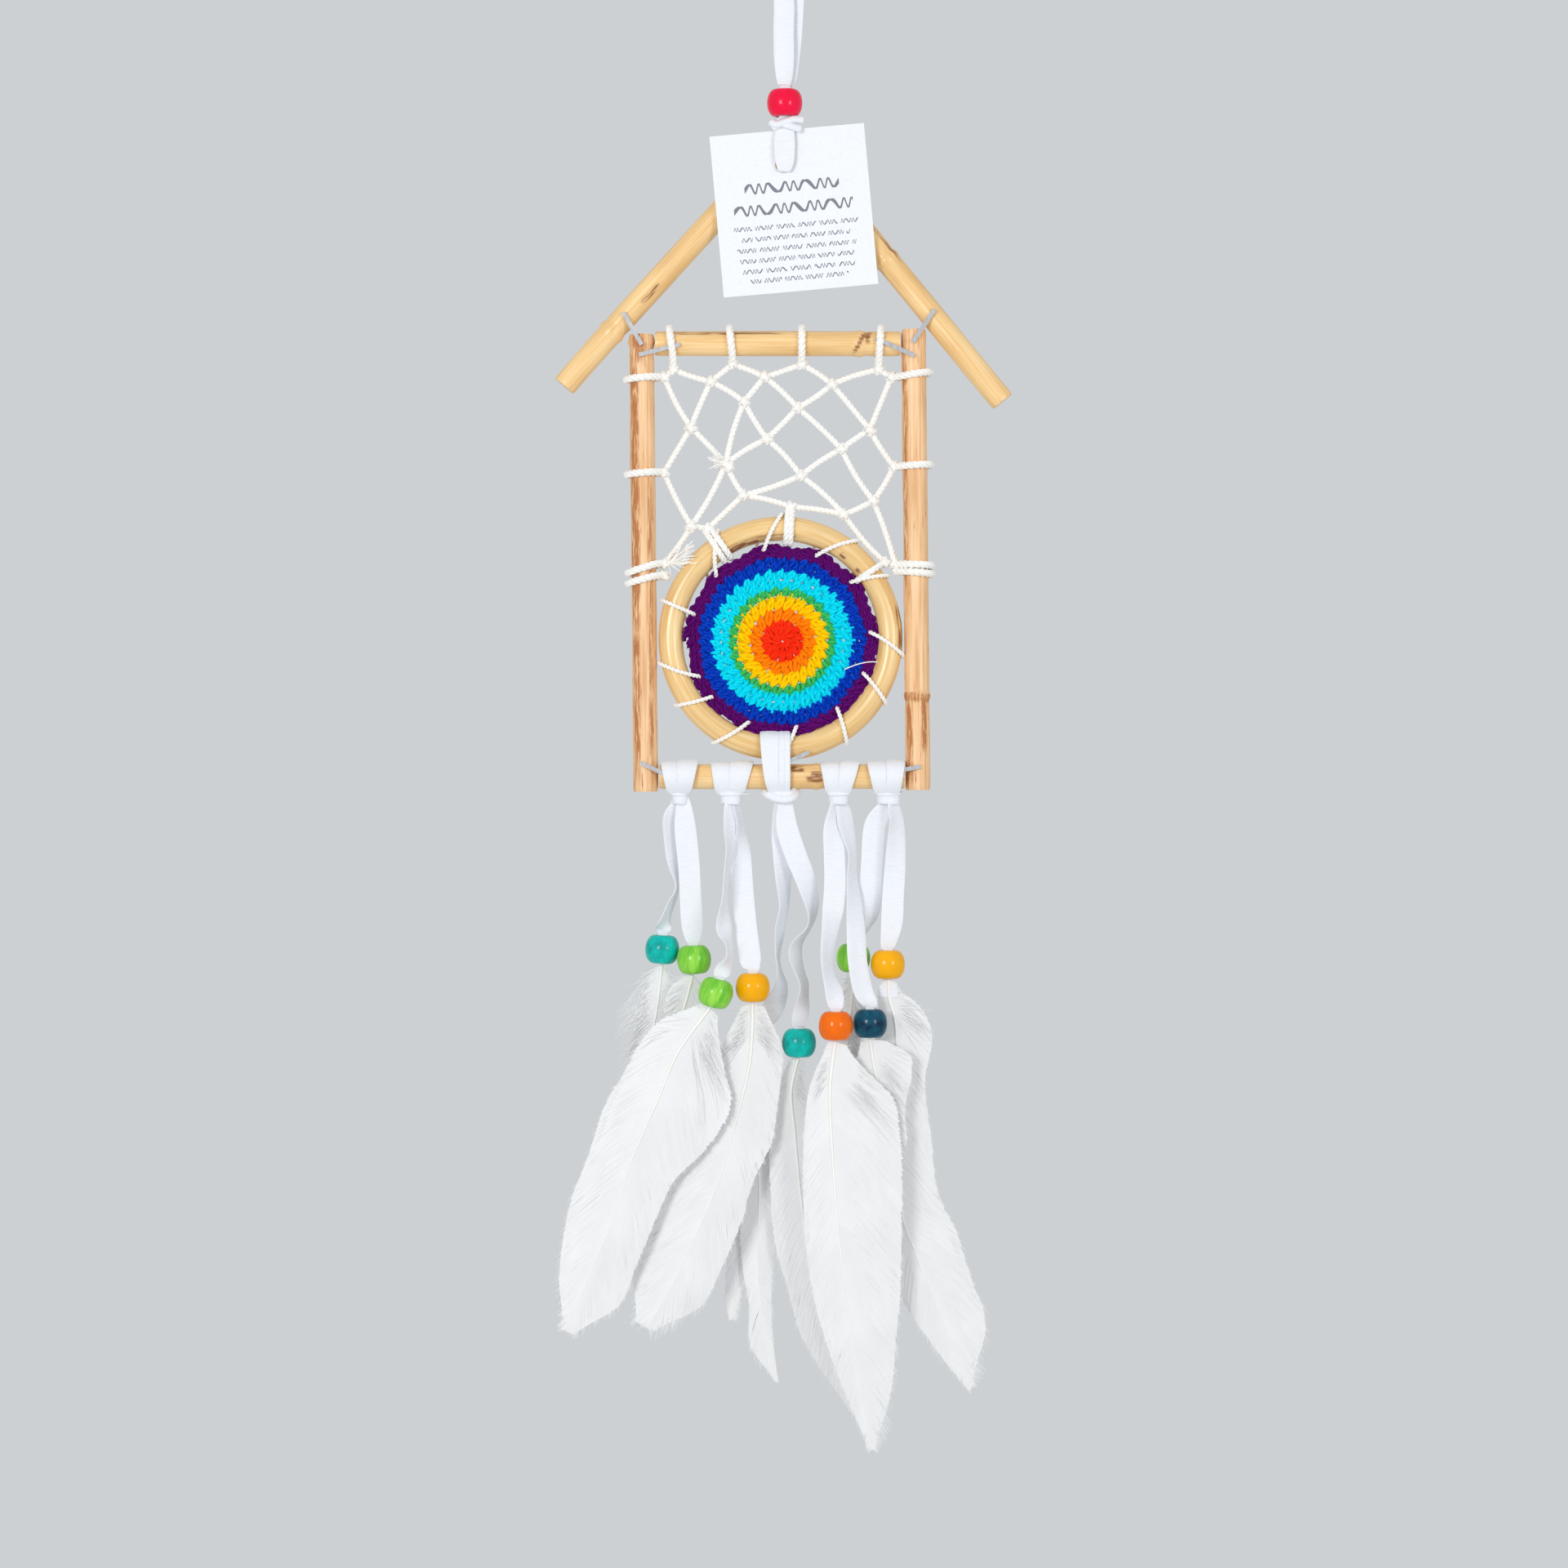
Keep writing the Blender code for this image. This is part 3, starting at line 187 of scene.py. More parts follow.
# Ribbon tails: rows of x, y, z below the bottom bar, and turn of the tape's broad side
TAILS = {
    "01": ((-30.6, 0.75, -8.9, 0), (-32.3, 1.2, -13.0, 35), (-31.4, 2.0, -23.5, 45), (-30.6, 2.4, -31.1, 80),
           (-32.3, 3.0, -36.1, 72), (-34.1, 3.5, -41.4, 60)),
    "02": ((-28.6, -0.75, -8.9, 0), (-28.2, -0.6, -14.9, 0), (-27.2, -0.2, -25.0, 0), (-26.8, 0.1, -32.7, 0),
           (-26.3, 0.4, -42.0, 0)),
    "03": ((-15.2, -0.75, -8.9, 35), (-15.2, -2.4, -14.9, 48), (-15.2, -3.6, -21.0, 62),
           (-16.3, -5.0, -27.5, 77),
           (-17.0, -6.2, -35.6, 76), (-17.1, -7.2, -43.2, 42), (-15.7, -7.7, -47.7, 68),
           (-15.8, -8.2, -52.4, 64)),
    "04": ((-13.4, 0.75, -8.9, 58), (-12.3, 0.6, -14.9, 66), (-12.3, 0.0, -24.0, 20), (-11.7, -0.8, -33.6, 0),
           (-10.7, -2.2, -43.7, 0), (-9.6, -4.0, -52.0, 0)),
    "05": ((-0.7, 0.75, -8.9, 0), (-0.5, 1.3, -16.0, 0), (-0.3, 1.7, -21.2, 10), (-0.3, 2.2, -28.7, 42),
           (0.1, 2.8, -36.8, 64), (-1.2, 3.3, -43.7, 62), (-1.8, 3.8, -51.3, 77), (-1.3, 4.1, -55.4, 78),
           (-0.8, 4.4, -59.9, 54), (-2.1, 4.7, -64.0, 18), (-3.9, 4.9, -67.6, 0)),
    "06": ((0.4, -0.75, -8.9, 0), (0.9, -0.8, -14.9, 0), (3.6, -0.6, -23.0, 4), (6.0, -0.4, -29.1, 18),
           (7.6, -0.2, -35.1, 43), (8.0, 0.0, -39.6, 66), (6.9, 0.1, -43.4, 76), (3.8, 0.2, -47.8, 58),
           (3.2, 0.3, -51.3, 54), (4.2, 0.4, -55.4, 62), (5.7, 0.5, -59.4, 66), (5.5, 0.6, -63.5, 58)),
    "07": ((14.5, -0.75, -8.9, 48), (14.0, -1.6, -14.9, 25), (14.3, -2.6, -22.0, 10), (14.5, -4.0, -30.0, 5),
           (14.0, -5.2, -37.0, 12), (13.3, -6.0, -41.7, 33), (12.2, -7.0, -50.3, 52), (12.6, -7.5, -55.9, 54),
           (14.1, -8.2, -61.2, 33)),
    "08": ((16.9, 0.75, -8.9, 30), (17.6, 0.4, -13.4, 41), (18.8, 0.0, -18.4, 54), (19.6, -0.4, -22.5, 66),
           (19.4, -0.9, -28.5, 62), (20.0, -1.7, -36.1, 45), (20.5, -2.7, -43.7, 30), (20.9, -3.7, -52.8, 26),
           (22.4, -4.4, -60.8, 24)),
    "09": ((31.3, -0.75, -8.9, 40), (32.0, -0.6, -13.4, 44), (31.8, -0.4, -23.5, 20), (31.2, 0.0, -33.6, 0),
           (30.8, 0.3, -41.7, 0)),
    "10": ((28.8, 0.75, -8.9, 0), (26.0, 1.5, -14.0, 0), (25.2, 2.2, -23.5, 0), (24.8, 2.8, -31.1, 0),
           (25.0, 3.3, -36.6, 28), (24.8, 3.8, -40.6, 54), (23.2, 4.4, -44.0, 70)),
}
# A tail in its bead, and where its cut end shows under it: height from the bead's middle, and width
BORE_ROWS = ((5.6, 4.2), (4.3, 2.8), (2.0, 2.4), (-2.2, 2.2))
TAIL_ENDS = {"09": ((-4.6, 3.0), (-7.0, 5.4), (-9.4, 5.8))}
# Beads: hitch, body, paint, centre (z below the bottom bar) and tilt
BEADS = {
    "01": (1, "pendant_01", "teal", (-34.9, 4.0, -49.5), 4),
    "02": (1, "hitch_1", "green", (-25.7, 0.5, -52.3), -3),
    "03": (2, "pendant_03", "green", (-19.4, -9.0, -61.4), 15),
    "04": (2, "hitch_2", "yellow", (-8.9, -5.0, -60.0), 0),
    "05": (3, "pendant_05", "orange", (-7.7, 5.0, -77.9), 0),
    "06": (3, "pendant_06", "teal", (4.3, 0.8, -76.1), 0),
    "07": (4, "pendant_07", "orange", (14.7, -9.0, -70.7), 0),
    "08": (4, "hitch_4", "dark_teal", (24.5, -5.0, -70.2), 0),
    "09": (5, "hitch_5", "yellow", (29.7, 0.8, -53.7), 0),
    "10": (5, "pendant_10", "green", (19.9, 5.0, -52.0), 0),
}
# Radius, height and radius of the bore
BEAD_SIZE = (4.9, 8.2, 1.7)
RED_BEAD_SIZE = (5.05, 7.7, 2.25)
RED_BEAD_AT = (0.2, -5.5, -56.0)

# Feathers: depth, shaft (x, z below the bottom bar), vane width to the left and to the right at nine even
# stations down the shaft, and how downy the vane is
FEATHERS = {
    "01": (4.2, ((-35, -53), (-36, -63), (-37.5, -72), (-41, -82), (-46, -92)),
           (1, 6, 9, 11, 10, 8, 6, 4, 1), (1, 5, 7, 8, 8, 7, 5, 3, 1), 1.0),
    "02": (0.6, ((-26, -56), (-28.5, -66), (-33, -79), (-39, -92)),
           (2, 7, 8, 7, 6, 5, 4, 2, 1), (2, 6, 7, 7, 6, 5, 4, 2, 1), 0.6),
    "03": (-9.2, ((-21, -65.5), (-30, -78), (-36, -92), (-43, -108), (-47, -121), (-51, -132),
                  (-58, -148), (-62, -157)),
           (3, 9.5, 11.5, 13, 12, 13, 11.5, 7.5, 1), (3, 14, 20, 18, 13.5, 11.5, 11, 11, 3), 0.0),
    "04": (-5.0, ((-9, -64), (-9, -71), (-10, -83), (-14, -99), (-18, -113), (-24, -128), (-31, -143),
                  (-39, -157)),
           (3, 8, 11, 12, 12.5, 12.5, 12.5, 11.5, 4), (3, 8.5, 10, 11.5, 9.5, 10.5, 10.5, 10, 2), 0.0),
    "05": (5.0, ((-7.7, -82), (-7.5, -100), (-7, -120), (-7.5, -140), (-6, -155), (-2, -174)),
           (2, 5, 6, 6, 5.5, 4.5, 3.5, 5, 0.5), (2, 4, 5, 5, 5, 4.5, 3, 1.5, 0.5), 0.0),
    "06": (0.8, ((4.1, -80), (2, -90), (3, -101), (4, -112), (6, -130), (9, -145), (14, -162), (20.5, -182)),
           (2, 4.5, 7.5, 8.5, 9, 8, 8, 5, 1), (2, 5, 7, 8, 8, 7, 6, 4, 1), 0.0),
    "07": (-9.0, ((14.5, -75), (13, -90), (14, -111), (15.5, -130), (18, -150), (21.5, -172), (25, -191)),
           (2, 6, 8, 9, 9.5, 9, 7, 4, 1), (3, 17, 19.5, 19, 17.5, 15.5, 12, 8, 1), 0.0),
    "08": (-5.0, ((24.5, -74.5), (25.5, -82), (27, -91), (28, -105), (28, -122)),
           (3, 5, 6, 7, 7, 6, 4, 2, 1), (4, 12, 12, 9, 8, 8, 6, 3, 1), 0.3),
    "09": (0.8, ((30, -58), (30, -63), (32, -72), (33, -95), (33.5, -123), (38, -137), (42, -147),
                 (51, -170), (54, -175)),
           (2, 6, 7, 8, 9, 9, 8.5, 5, 1), (2, 10, 7.5, 9, 10.5, 13, 12, 11, 1), 0.0),
    "10": (5.0, ((20, -56), (19, -68), (17.5, -84), (17.2, -96)),
           (2, 5, 6, 5, 5, 4, 3, 2, 1), (2, 5, 6, 5, 5, 4, 3, 2, 1), 0.6),
}

# A second, narrower feather in the same bead as feather 05
SECOND_FEATHER = (
    7.2, ((-8.5, -84), (-9.5, -104), (-12, -128), (-14.5, -148), (-14.8, -156)),
    (2, 4, 4, 4, 3.5, 3, 3, 2.5, 1), (2, 3, 3, 3, 3, 3, 3, 2.5, 1), 0.0,
)
# Where barbs start, in mm below a bead's middle; the share of the shaft with down on it; and from barb to barb
VANE_START = 3.6
FLUFF_REACH = 0.10
BARB_STEP = 0.3
# Shares of a barb where the vane and the down are drawn, and of the shaft below which the vane parts more
VANE_STATIONS = (0.0, 0.12, 0.28, 0.46, 0.64, 0.8, 0.92, 1.0)
DOWN_STATIONS = (0.0, 0.14, 0.3, 0.46, 0.62, 0.78, 0.9, 1.0)
LATE_VANE = 0.78

# Hanging ribbon: x, y, z, width and turn of the loop, of the loop on the card and of the bundle in the bead
UPPER_LOOP = (
    (0.1, -6.6, -51.0, 3.6, 0), (0.1, -6.6, -48.5, 4.8, 0), (0.0, -6.4, -43.0, 5.7, 0),
    (-0.1, -5.7, -36.0, 5.8, 0),
    (0.0, -4.2, -26.0, 5.8, 0), (-1.2, -2.4, -15.0, 5.8, 45), (-2.4, -0.9, -7.0, 5.8, 84),
    (-2.3, 0.0, -2.2, 5.8, 90),
    (0.0, 0.0, 0.4, 5.8, 90), (2.3, 0.0, -2.2, 5.8, 90), (2.6, -0.3, -7.0, 5.8, 84),
    (2.6, -1.1, -15.0, 5.8, 45),
    (2.8, -2.4, -26.0, 5.7, 0), (2.3, -3.2, -36.0, 5.6, 0), (1.8, -3.8, -43.0, 5.2, 0),
    (1.3, -4.2, -48.5, 4.6, 0),
    (0.7, -4.4, -51.0, 3.6, 0),
)
LOWER_LOOP = (
    (0.3, -6.4, -60.6, 4.4, 0), (0.2, -6.6, -66.5, 5.8, 0), (0.2, -6.7, -71.0, 5.6, 0),
    (0.2, -6.7, -73.8, 4.8, 0),
    (0.2, -6.3, -75.4, 3.2, 0), (0.4, -4.9, -74.4, 2.4, 0), (0.6, -2.5, -73.6, 2.2, 0),
    (0.8, 0.0, -73.4, 2.2, 0),
    (0.9, 3.0, -72.9, 2.6, 0),
    (0.9, 4.9, -70.5, 4.0, 0), (0.9, 5.3, -67.0, 5.0, 0), (0.8, 4.6, -63.6, 5.0, 0), (0.6, 2.0, -61.4, 4.6, 0),
    (0.4, -2.0, -60.9, 4.0, 0), (0.4, -6.4, -60.2, 3.4, 0),
)
BUNDLE = ((0.2, -5.5, -49.0, 3.4, 0), (0.2, -5.5, -56.0, 3.4, 0), (0.2, -5.6, -61.0, 3.6, 0))
# Turns of the knot over the card, and how thick each is
KNOT_EARS = (
    (((-3.6, -6.6, -61.6), (-2.0, -7.3, -62.4), (0.3, -7.5, -61.6), (2.6, -7.2, -60.9),
      (5.2, -6.4, -60.9)), 1.25),
    (((-3.0, -6.5, -63.4), (-1.2, -7.2, -62.0), (1.6, -7.4, -62.8), (4.6, -6.6, -63.6)), 1.15),
)

# Card
CARD_CENTRE = (2.8, -86.5)
CARD_SIZE = (44.1, 46.0)
CARD_TILT = 5.1
CARD_HOLE = (0.0, -73.5)
CARD_HOLE_R = 2.5
CARD_Y = -5.15
CARD_THICKNESS = 0.4
# Pen strokes: height from the card's centre, half length, swing, wavelength, half thickness and word length
CARD_ROWS = (
    (7.0, 13.5, 1.2, 3.4, 0.24, 60.0), (0.9, 17.0, 1.2, 3.3, 0.24, 60.0), (-4.2, 18.0, 0.50, 1.1, 0.10, 6.1),
    (-7.3, 15.5, 0.50, 1.15, 0.10, 5.2), (-10.4, 17.0, 0.50, 1.05, 0.10, 6.6),
    (-13.4, 16.5, 0.50, 1.1, 0.10, 5.6),
    (-16.4, 16.0, 0.50, 1.2, 0.10, 6.9), (-19.2, 14.0, 0.50, 1.1, 0.10, 5.9),
)
# The share of a word's length that has ink in it, and a place off the card for faces with none
WORD_SHARE = 0.86
UNPRINTED = (99.0, 99.0)

# Studio, in metres: what the camera takes in at the sticks, the height it looks at, the lamps and the floor
VIEW_WIDTH, VIEW_Z = 0.448, -0.2497
LIGHT_SIZE, LIGHT_AIM = 0.35, Vector((0.0, 0.0, -0.25))
FLOOR_R, FLOOR_Z = 0.24, -0.56


# ---------------------------------------------------------------- lines and numbers
def circle(steps, first=0.0):
    """Angles an even part of a turn apart."""
    return [first + 2 * pi * step / steps for step in range(steps)]


def curved(a, b, c, d, t):
    """A value on the smooth curve through a, b, c and d, a share t of the way from b to c."""
    return 0.5 * (2 * b + (c - a) * t + (2 * a - 5 * b + 4 * c - d) * t * t + (3 * b - a - 3 * c + d) * t ** 3)


def smooth(rows, per_run):
    """Rows of numbers along one smooth curve through the given rows."""
    ends = [rows[0], *rows, rows[-1]]
    made = []
    for four in zip(ends, ends[1:], ends[2:], ends[3:]):
        for step in range(per_run):
            made.append(tuple(curved(*values, step / per_run) for values in zip(*four)))
    return [*made, tuple(rows[-1])]


def between(values, t):
    """A value from an even table, smoothly between its stations."""
    place = min(max(t, 0.0), 1.0) * (len(values) - 1)
    low = min(int(place), len(values) - 2)
    return curved(values[max(low - 1, 0)], values[low], values[low + 1], values[min(low + 2, len(values) - 1)],
                  place - low)


def length_of(points):
    return sum((b - a).length for a, b in zip(points, points[1:]))


def lengths_round(points):
    """How far round a closed line each point lies, and the whole way round."""
    made = [0.0]
    for here, after in zip(points, points[1:] + points[:1]):
        made.append(made[-1] + (after - here).length)
    return made


def spaced(points, step, closed=False):
    """Points an even distance apart along the line through the given points."""
    points = [Vector(point) for point in points]
    if closed:
        points.append(points[0])
    total = length_of(points)
    count = max(2, round(total / step))
    made, run, left = [], 0, 0.0
    for i in range(count + (not closed)):
        want = total * i / count
        while run < len(points) - 2 and left + (points[run + 1] - points[run]).length < want:
            left += (points[run + 1] - points[run]).length
            run += 1
        span = (points[run + 1] - points[run]).length or 1.0
        made.append(points[run].lerp(points[run + 1], min(1.0, (want - left) / span)))
    return made


def frames(centres, closed=False, side=None):
    """(direction, side, out) at each point, with a side that turns as little as it can."""
    first, last = (centres[-1], centres[0]) if closed else (centres[0], centres[-1])
    ends = [first, *centres, last]
    made = []
    for before, after in zip(ends, ends[2:]):
        along = (after - before).normalized()
        side = along.orthogonal() if side is None else side
        side = (side - along * side.dot(along)).normalized()
        made.append((along, side, along.cross(side)))
    return made


def in_plane(point, y=0.0):
    return Vector((point[0], y, point[1]))


def hoop_point(radius, degrees, y=0.0):
    angle = radians(degrees)
    return Vector((HOOP_CENTRE[0] + radius * cos(angle), y, HOOP_CENTRE[1] + radius * sin(angle)))


def below_bar(x, y, z):
    """A point whose height is given from the bottom bar's centre line."""
    return Vector((x, y, z + BOTTOM_BAR_Z))


# ---------------------------------------------------------------- shapes
class Shape:
    """The points and faces of one piece in millimetres, with a place on the surface for each corner."""

    def __init__(self):
        self.points, self.faces, self.places, self.finishes = [], [], [], []

    def add(self, corners, places, finish=0):
        self.faces.append(corners)
        self.places += places
        self.finishes.append(finish)

    def skin(self, rings, closed=False, cap_finish=0):
        """Joins ring to ring, and closes both ends with a face unless the skin meets itself."""
        first, count = len(self.points), len(rings[0])
        for ring in rings:
            self.points += ring
        along = lengths_round([ring[0] for ring in rings])
        around = lengths_round(rings[len(rings) // 2])
        for i in range(len(rings) - (not closed)):
            low, high = first + i * count, first + (i + 1) % len(rings) * count
            for j in range(count):
                k = (j + 1) % count
                places = [(along[i], around[j]), (along[i], around[j + 1]),
                          (along[i + 1], around[j + 1]), (along[i + 1], around[j])]
                self.add((low + j, low + k, high + k, high + j), places)
        if not closed:
            for start in (first, first + (len(rings) - 1) * count):
                corners = tuple(range(start, start + count))
                self.add(corners, [tuple(self.points[i].xz) for i in corners], cap_finish)

    def tube(self, centres, radius, sides=8, closed=False, flat=1.0):
        """A round or flattened tube. radius is one number, or a list with one for each point."""
        sizes = radius if isinstance(radius, list) else [radius] * len(centres)
        turns = circle(sides)
        self.skin([
            [centre + size * (across * cos(turn) + out * (flat * sin(turn))) for turn in turns]
            for centre, size, (_, across, out) in zip(centres, sizes, frames(centres, closed))
        ], closed)

    def twisted(self, points, radius, pitch, closed=False, plies=3, sides=6, sizes=None):
        """A cord of twisted plies along the points. sizes gives the share of the radius along it."""
        step = pitch / STEPS_PER_PITCH
        centres = spaced(points, step, closed)
        length = step * len(centres)
        turns = max(1, round(length / pitch)) if closed else length / pitch
        made = frames(centres, closed)
        for ply in range(plies):
            path, thick = [], []
            for i, (centre, (_, across, out)) in enumerate(zip(centres, made)):
                turn = 2 * pi * (turns * i / len(centres) + ply / plies)
                size = radius * (sizes(i / max(1, len(centres) - 1)) if sizes else 1.0)
                path.append(centre + PLY_PLACE * size * (across * cos(turn) + out * sin(turn)))
                thick.append(PLY_SIZE * size)
            self.tube(path, thick, sides, closed)

    def strip(self, centres, sides, widths, thickness, closed=False, camber=0.0, lift=None):
        """A flat tape with rounded edges. sides is the direction of its breadth at each point."""
        rings = []
        for i, (centre, across, width) in enumerate(zip(centres, sides, widths)):
            after = centres[(i + 1) % len(centres)] if closed or i + 1 < len(centres) else centre
            before = centres[i - 1] if closed or i else centre
            along = (after - before).normalized()
            across = (across - along * across.dot(along)).normalized()
            out = along.cross(across)
            top, bottom = [], []
            for step in STRIP_STEPS:
                bow = camber * width * (step * step - 0.4) + (lift(i, step) if lift else 0.0)
                deep = thickness / 2 * math.sqrt(max(0.08, 1 - step ** 6))
                middle = centre + across * (width / 2 * step)
                top.append(middle + out * (bow + deep))
                bottom.append(middle + out * (bow - deep))
            rings.append(top + bottom[::-1])
        self.skin(rings, closed)

    def band(self, centres, direction, width, thickness, camber):
        """A closed strip whose breadth points the same way all round."""
        widths = width if isinstance(width, list) else [width] * len(centres)
        self.strip(centres, [direction] * len(centres), widths, thickness, closed=True, camber=camber)

    def ball(self, centre, radii, steps=6):
        rings = []
        for i in range(steps + 1):
            tilt = pi * (i + 0.25) / (steps + 0.5)
            rings.append([
                Vector(centre) + Vector((radii[0] * sin(tilt) * cos(turn), radii[1] * sin(tilt) * sin(turn),
                                         radii[2] * cos(tilt)))
                for turn in circle(2 * steps)
            ])
        self.skin(rings)


def add_object(name, data, place=(0.0, 0.0, 0.0)):
    obj = bpy.data.objects.new(name, data)
    obj.location = place
    bpy.context.scene.collection.objects.link(obj)
    return obj


def add_piece(name, shape, finishes, body, replaces):
    """Makes the piece in metres, with its faces turned outwards, and rides it on its body."""
    mesh = bpy.data.meshes.new(name)
    mesh.from_pydata([point * MM for point in shape.points], [], shape.faces)
    layer = mesh.uv_layers.new(name="surface")
    layer.uv.foreach_set("vector", [number for place in shape.places for number in place])
    mesh.polygons.foreach_set("material_index", shape.finishes)
    bm = bmesh.new()
    bm.from_mesh(mesh)
    bmesh.ops.recalc_face_normals(bm, faces=bm.faces)
    bm.to_mesh(mesh)
    bm.free()
    mesh.shade_smooth()
    mesh.set_sharp_from_angle(angle=radians(50))
    for finish in finishes:
        mesh.materials.append(finish)
    obj = add_object(name, mesh)
    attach(obj, body)
    if replaces:
        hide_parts(*replaces)
    return obj


# ---------------------------------------------------------------- materials
def add_node(material, kind, inputs=None, **settings):
    """A shader node, with each input set to a value or linked to another node's output."""
    tree = material.node_tree
    node = tree.nodes.new("ShaderNode" + kind)
    for name, value in settings.items():
        setattr(node, name, value)
    for socket, value in (inputs or {}).items():
        if isinstance(value, bpy.types.NodeSocket):
            tree.links.new(value, node.inputs[socket])
        else:
            node.inputs[socket].default_value = value
    return node


def feed(material, socket, value):
    """Leads a node's output into the shader."""
    tree = material.node_tree
    tree.links.new(value, tree.nodes["Principled BSDF"].inputs[socket])


def new_material(name, colour, roughness, **sockets):
    made = bpy.data.materials.new(name)
    made.use_nodes = True
    inputs = made.node_tree.nodes["Principled BSDF"].inputs
    inputs["Base Color"].default_value = (*colour, 1.0)
    inputs["Roughness"].default_value = roughness
    for socket, value in sockets.items():
        inputs[socket.replace("_", " ")].default_value = value
    return made


def math_node(material, kind, *values):
    return add_node(material, "Math", dict(enumerate(values)), operation=kind).outputs[0]


def noise_node(material, stretch, detail=5.0, coords="UV", roughness=0.6):
    """Noise laid over the surface, with its own scale along and across."""
    place = add_node(material, "TexCoord").outputs[coords]
    mapping = add_node(material, "Mapping", {"Vector": place, "Scale": stretch})
    inputs = {"Vector": mapping.outputs["Vector"], "Scale": 1.0, "Detail": detail, "Roughness": roughness}
    return add_node(material, "TexNoise", inputs).outputs["Fac"]


def ramp_node(material, value, *stops):
    """Colours along a ramp over the value. Each stop is a place and a colour, or a grey as one number."""
    ramp = add_node(material, "ValToRGB", {"Fac": value})
    elements = ramp.color_ramp.elements
    while len(elements) < len(stops):
        elements.new(0.5)
    for element, (place, colour) in zip(elements, stops):
        element.position = place
        element.color = (*(colour if isinstance(colour, tuple) else (colour,) * 3), 1.0)
    return ramp.outputs["Color"]


def mix_node(material, factor, first, second, kind="MIX"):
    inputs = {"Factor": factor, "A": first, "B": second}
    return add_node(material, "Mix", inputs, data_type="RGBA", blend_type=kind).outputs["Result"]


def tint(material, value, *stops):
    feed(material, "Base Color", ramp_node(material, value, *stops))


def bump_from(material, value, strength, distance):
    bump = add_node(material, "Bump", {"Height": value, "Strength": strength, "Distance": distance})
    feed(material, "Normal", bump.outputs["Normal"])


def wood(name, tones, streaks, roughness, coat, stain_stretch, stain_level, stain_tone, grain=0.25):
    """Fibres along the stick, a slow change of tone, dark flecks where the noise runs high, and its stains."""
    made = new_material(name, tones[1], roughness, Coat_Weight=coat, Coat_Roughness=0.25)
    fibres = noise_node(made, (0.035, streaks, 1.0), 6.0)
    colour = ramp_node(made, fibres, *zip((0.30, 0.52, 0.75), tones))
    slow = ramp_node(made, noise_node(made, (0.03, 0.08, 1.0), 2.0), (0.3, (0.86, 0.80, 0.72)), (0.7, 1.0))
    flecks = noise_node(made, stain_stretch, 4.0, roughness=0.7)
    flecks = ramp_node(made, flecks, (stain_level, 1.0), (stain_level + 0.06, stain_tone))
    for layer in (slow, flecks):
        colour = mix_node(made, 1.0, colour, layer, "MULTIPLY")
    stain = add_node(made, "Attribute", attribute_name="stain").outputs["Fac"]
    patchy = ramp_node(made, noise_node(made, (0.16, 1.3, 1.0), 5.0), (0.40, 0.05), (0.55, 1.0))
    worn = math_node(made, "MULTIPLY", stain, patchy)
    feed(made, "Base Color", mix_node(made, worn, colour, (*stain_tone, 1.0)))
    bump_from(made, fibres, grain, 0.0002)
    return made


def yarn(name, dark, light, roughness=0.6, specular=0.07):
    made = new_material(name, light, roughness, Specular_IOR_Level=specular)
    fibres = noise_node(made, (0.9, 4.0, 1.0), 4.0)
    tint(made, fibres, (0.32, dark), (0.62, light))
    bump_from(made, fibres, 0.5, 0.0002)
    return made


def bead_paint(name, dark, light, roughness=0.25, streaks=(0.1, 0.1, 0.1)):
    made = new_material(name, light, roughness, Specular_IOR_Level=0.1, Coat_Weight=0.3, Coat_Roughness=0.06)
    tint(made, noise_node(made, streaks, 4.0), (0.32, dark), (0.62, light))
    bump_from(made, noise_node(made, (0.25, 0.25, 0.25), 2.0), 0.05, 0.0004)
    return made


def card_print():
    """White card with wavering grey pen strokes in rows, which hold no letters."""
    made = new_material("card", (0.86, 0.87, 0.89), 0.55)

    def calc(kind, *values):
        return math_node(made, kind, *values)

    place = add_node(made, "TexCoord").outputs["UV"]
    split = add_node(made, "SeparateXYZ", {"Vector": place})
    across, down = split.outputs["X"], split.outputs["Y"]
    ink = 0.0
    for row, (height, half_width, swing, wavelength, stroke, word) in enumerate(CARD_ROWS):
        drift = calc("SINE", calc("MULTIPLY_ADD", across, 2.3 / wavelength, 1.9 * row))
        phase = calc("ADD", calc("MULTIPLY", across, 2 * pi / wavelength), calc("MULTIPLY", drift, 1.5))
        middle = calc("MULTIPLY_ADD", calc("SINE", phase), swing, height)
        # A steep run of the wave needs more height to look as thick as a level one.
        reach = calc("MULTIPLY_ADD", calc("ABSOLUTE", calc("COSINE", phase)), 2.4 * stroke, stroke)
        line = calc("LESS_THAN", calc("ABSOLUTE", calc("SUBTRACT", down, middle)), reach)
        line = calc("MULTIPLY", line, calc("LESS_THAN", calc("ABSOLUTE", across), half_width))
        in_word = calc("FRACT", calc("MULTIPLY_ADD", across, 1 / word, 0.37 * max(0, row - 1) + 9.5))
        line = calc("MULTIPLY", line, calc("LESS_THAN", in_word, WORD_SHARE))
        ink = calc("MAXIMUM", ink, line)
    fine = noise_node(made, (0.9, 0.9, 1.0), 3.0)
    paper = ramp_node(made, fine, (0.3, (0.83, 0.84, 0.87)), (0.7, (0.88, 0.89, 0.92)))
    feed(made, "Base Color", mix_node(made, ink, paper, (0.20, 0.20, 0.24, 1.0)))
    bump_from(made, fine, 0.06, 0.0001)
    return made


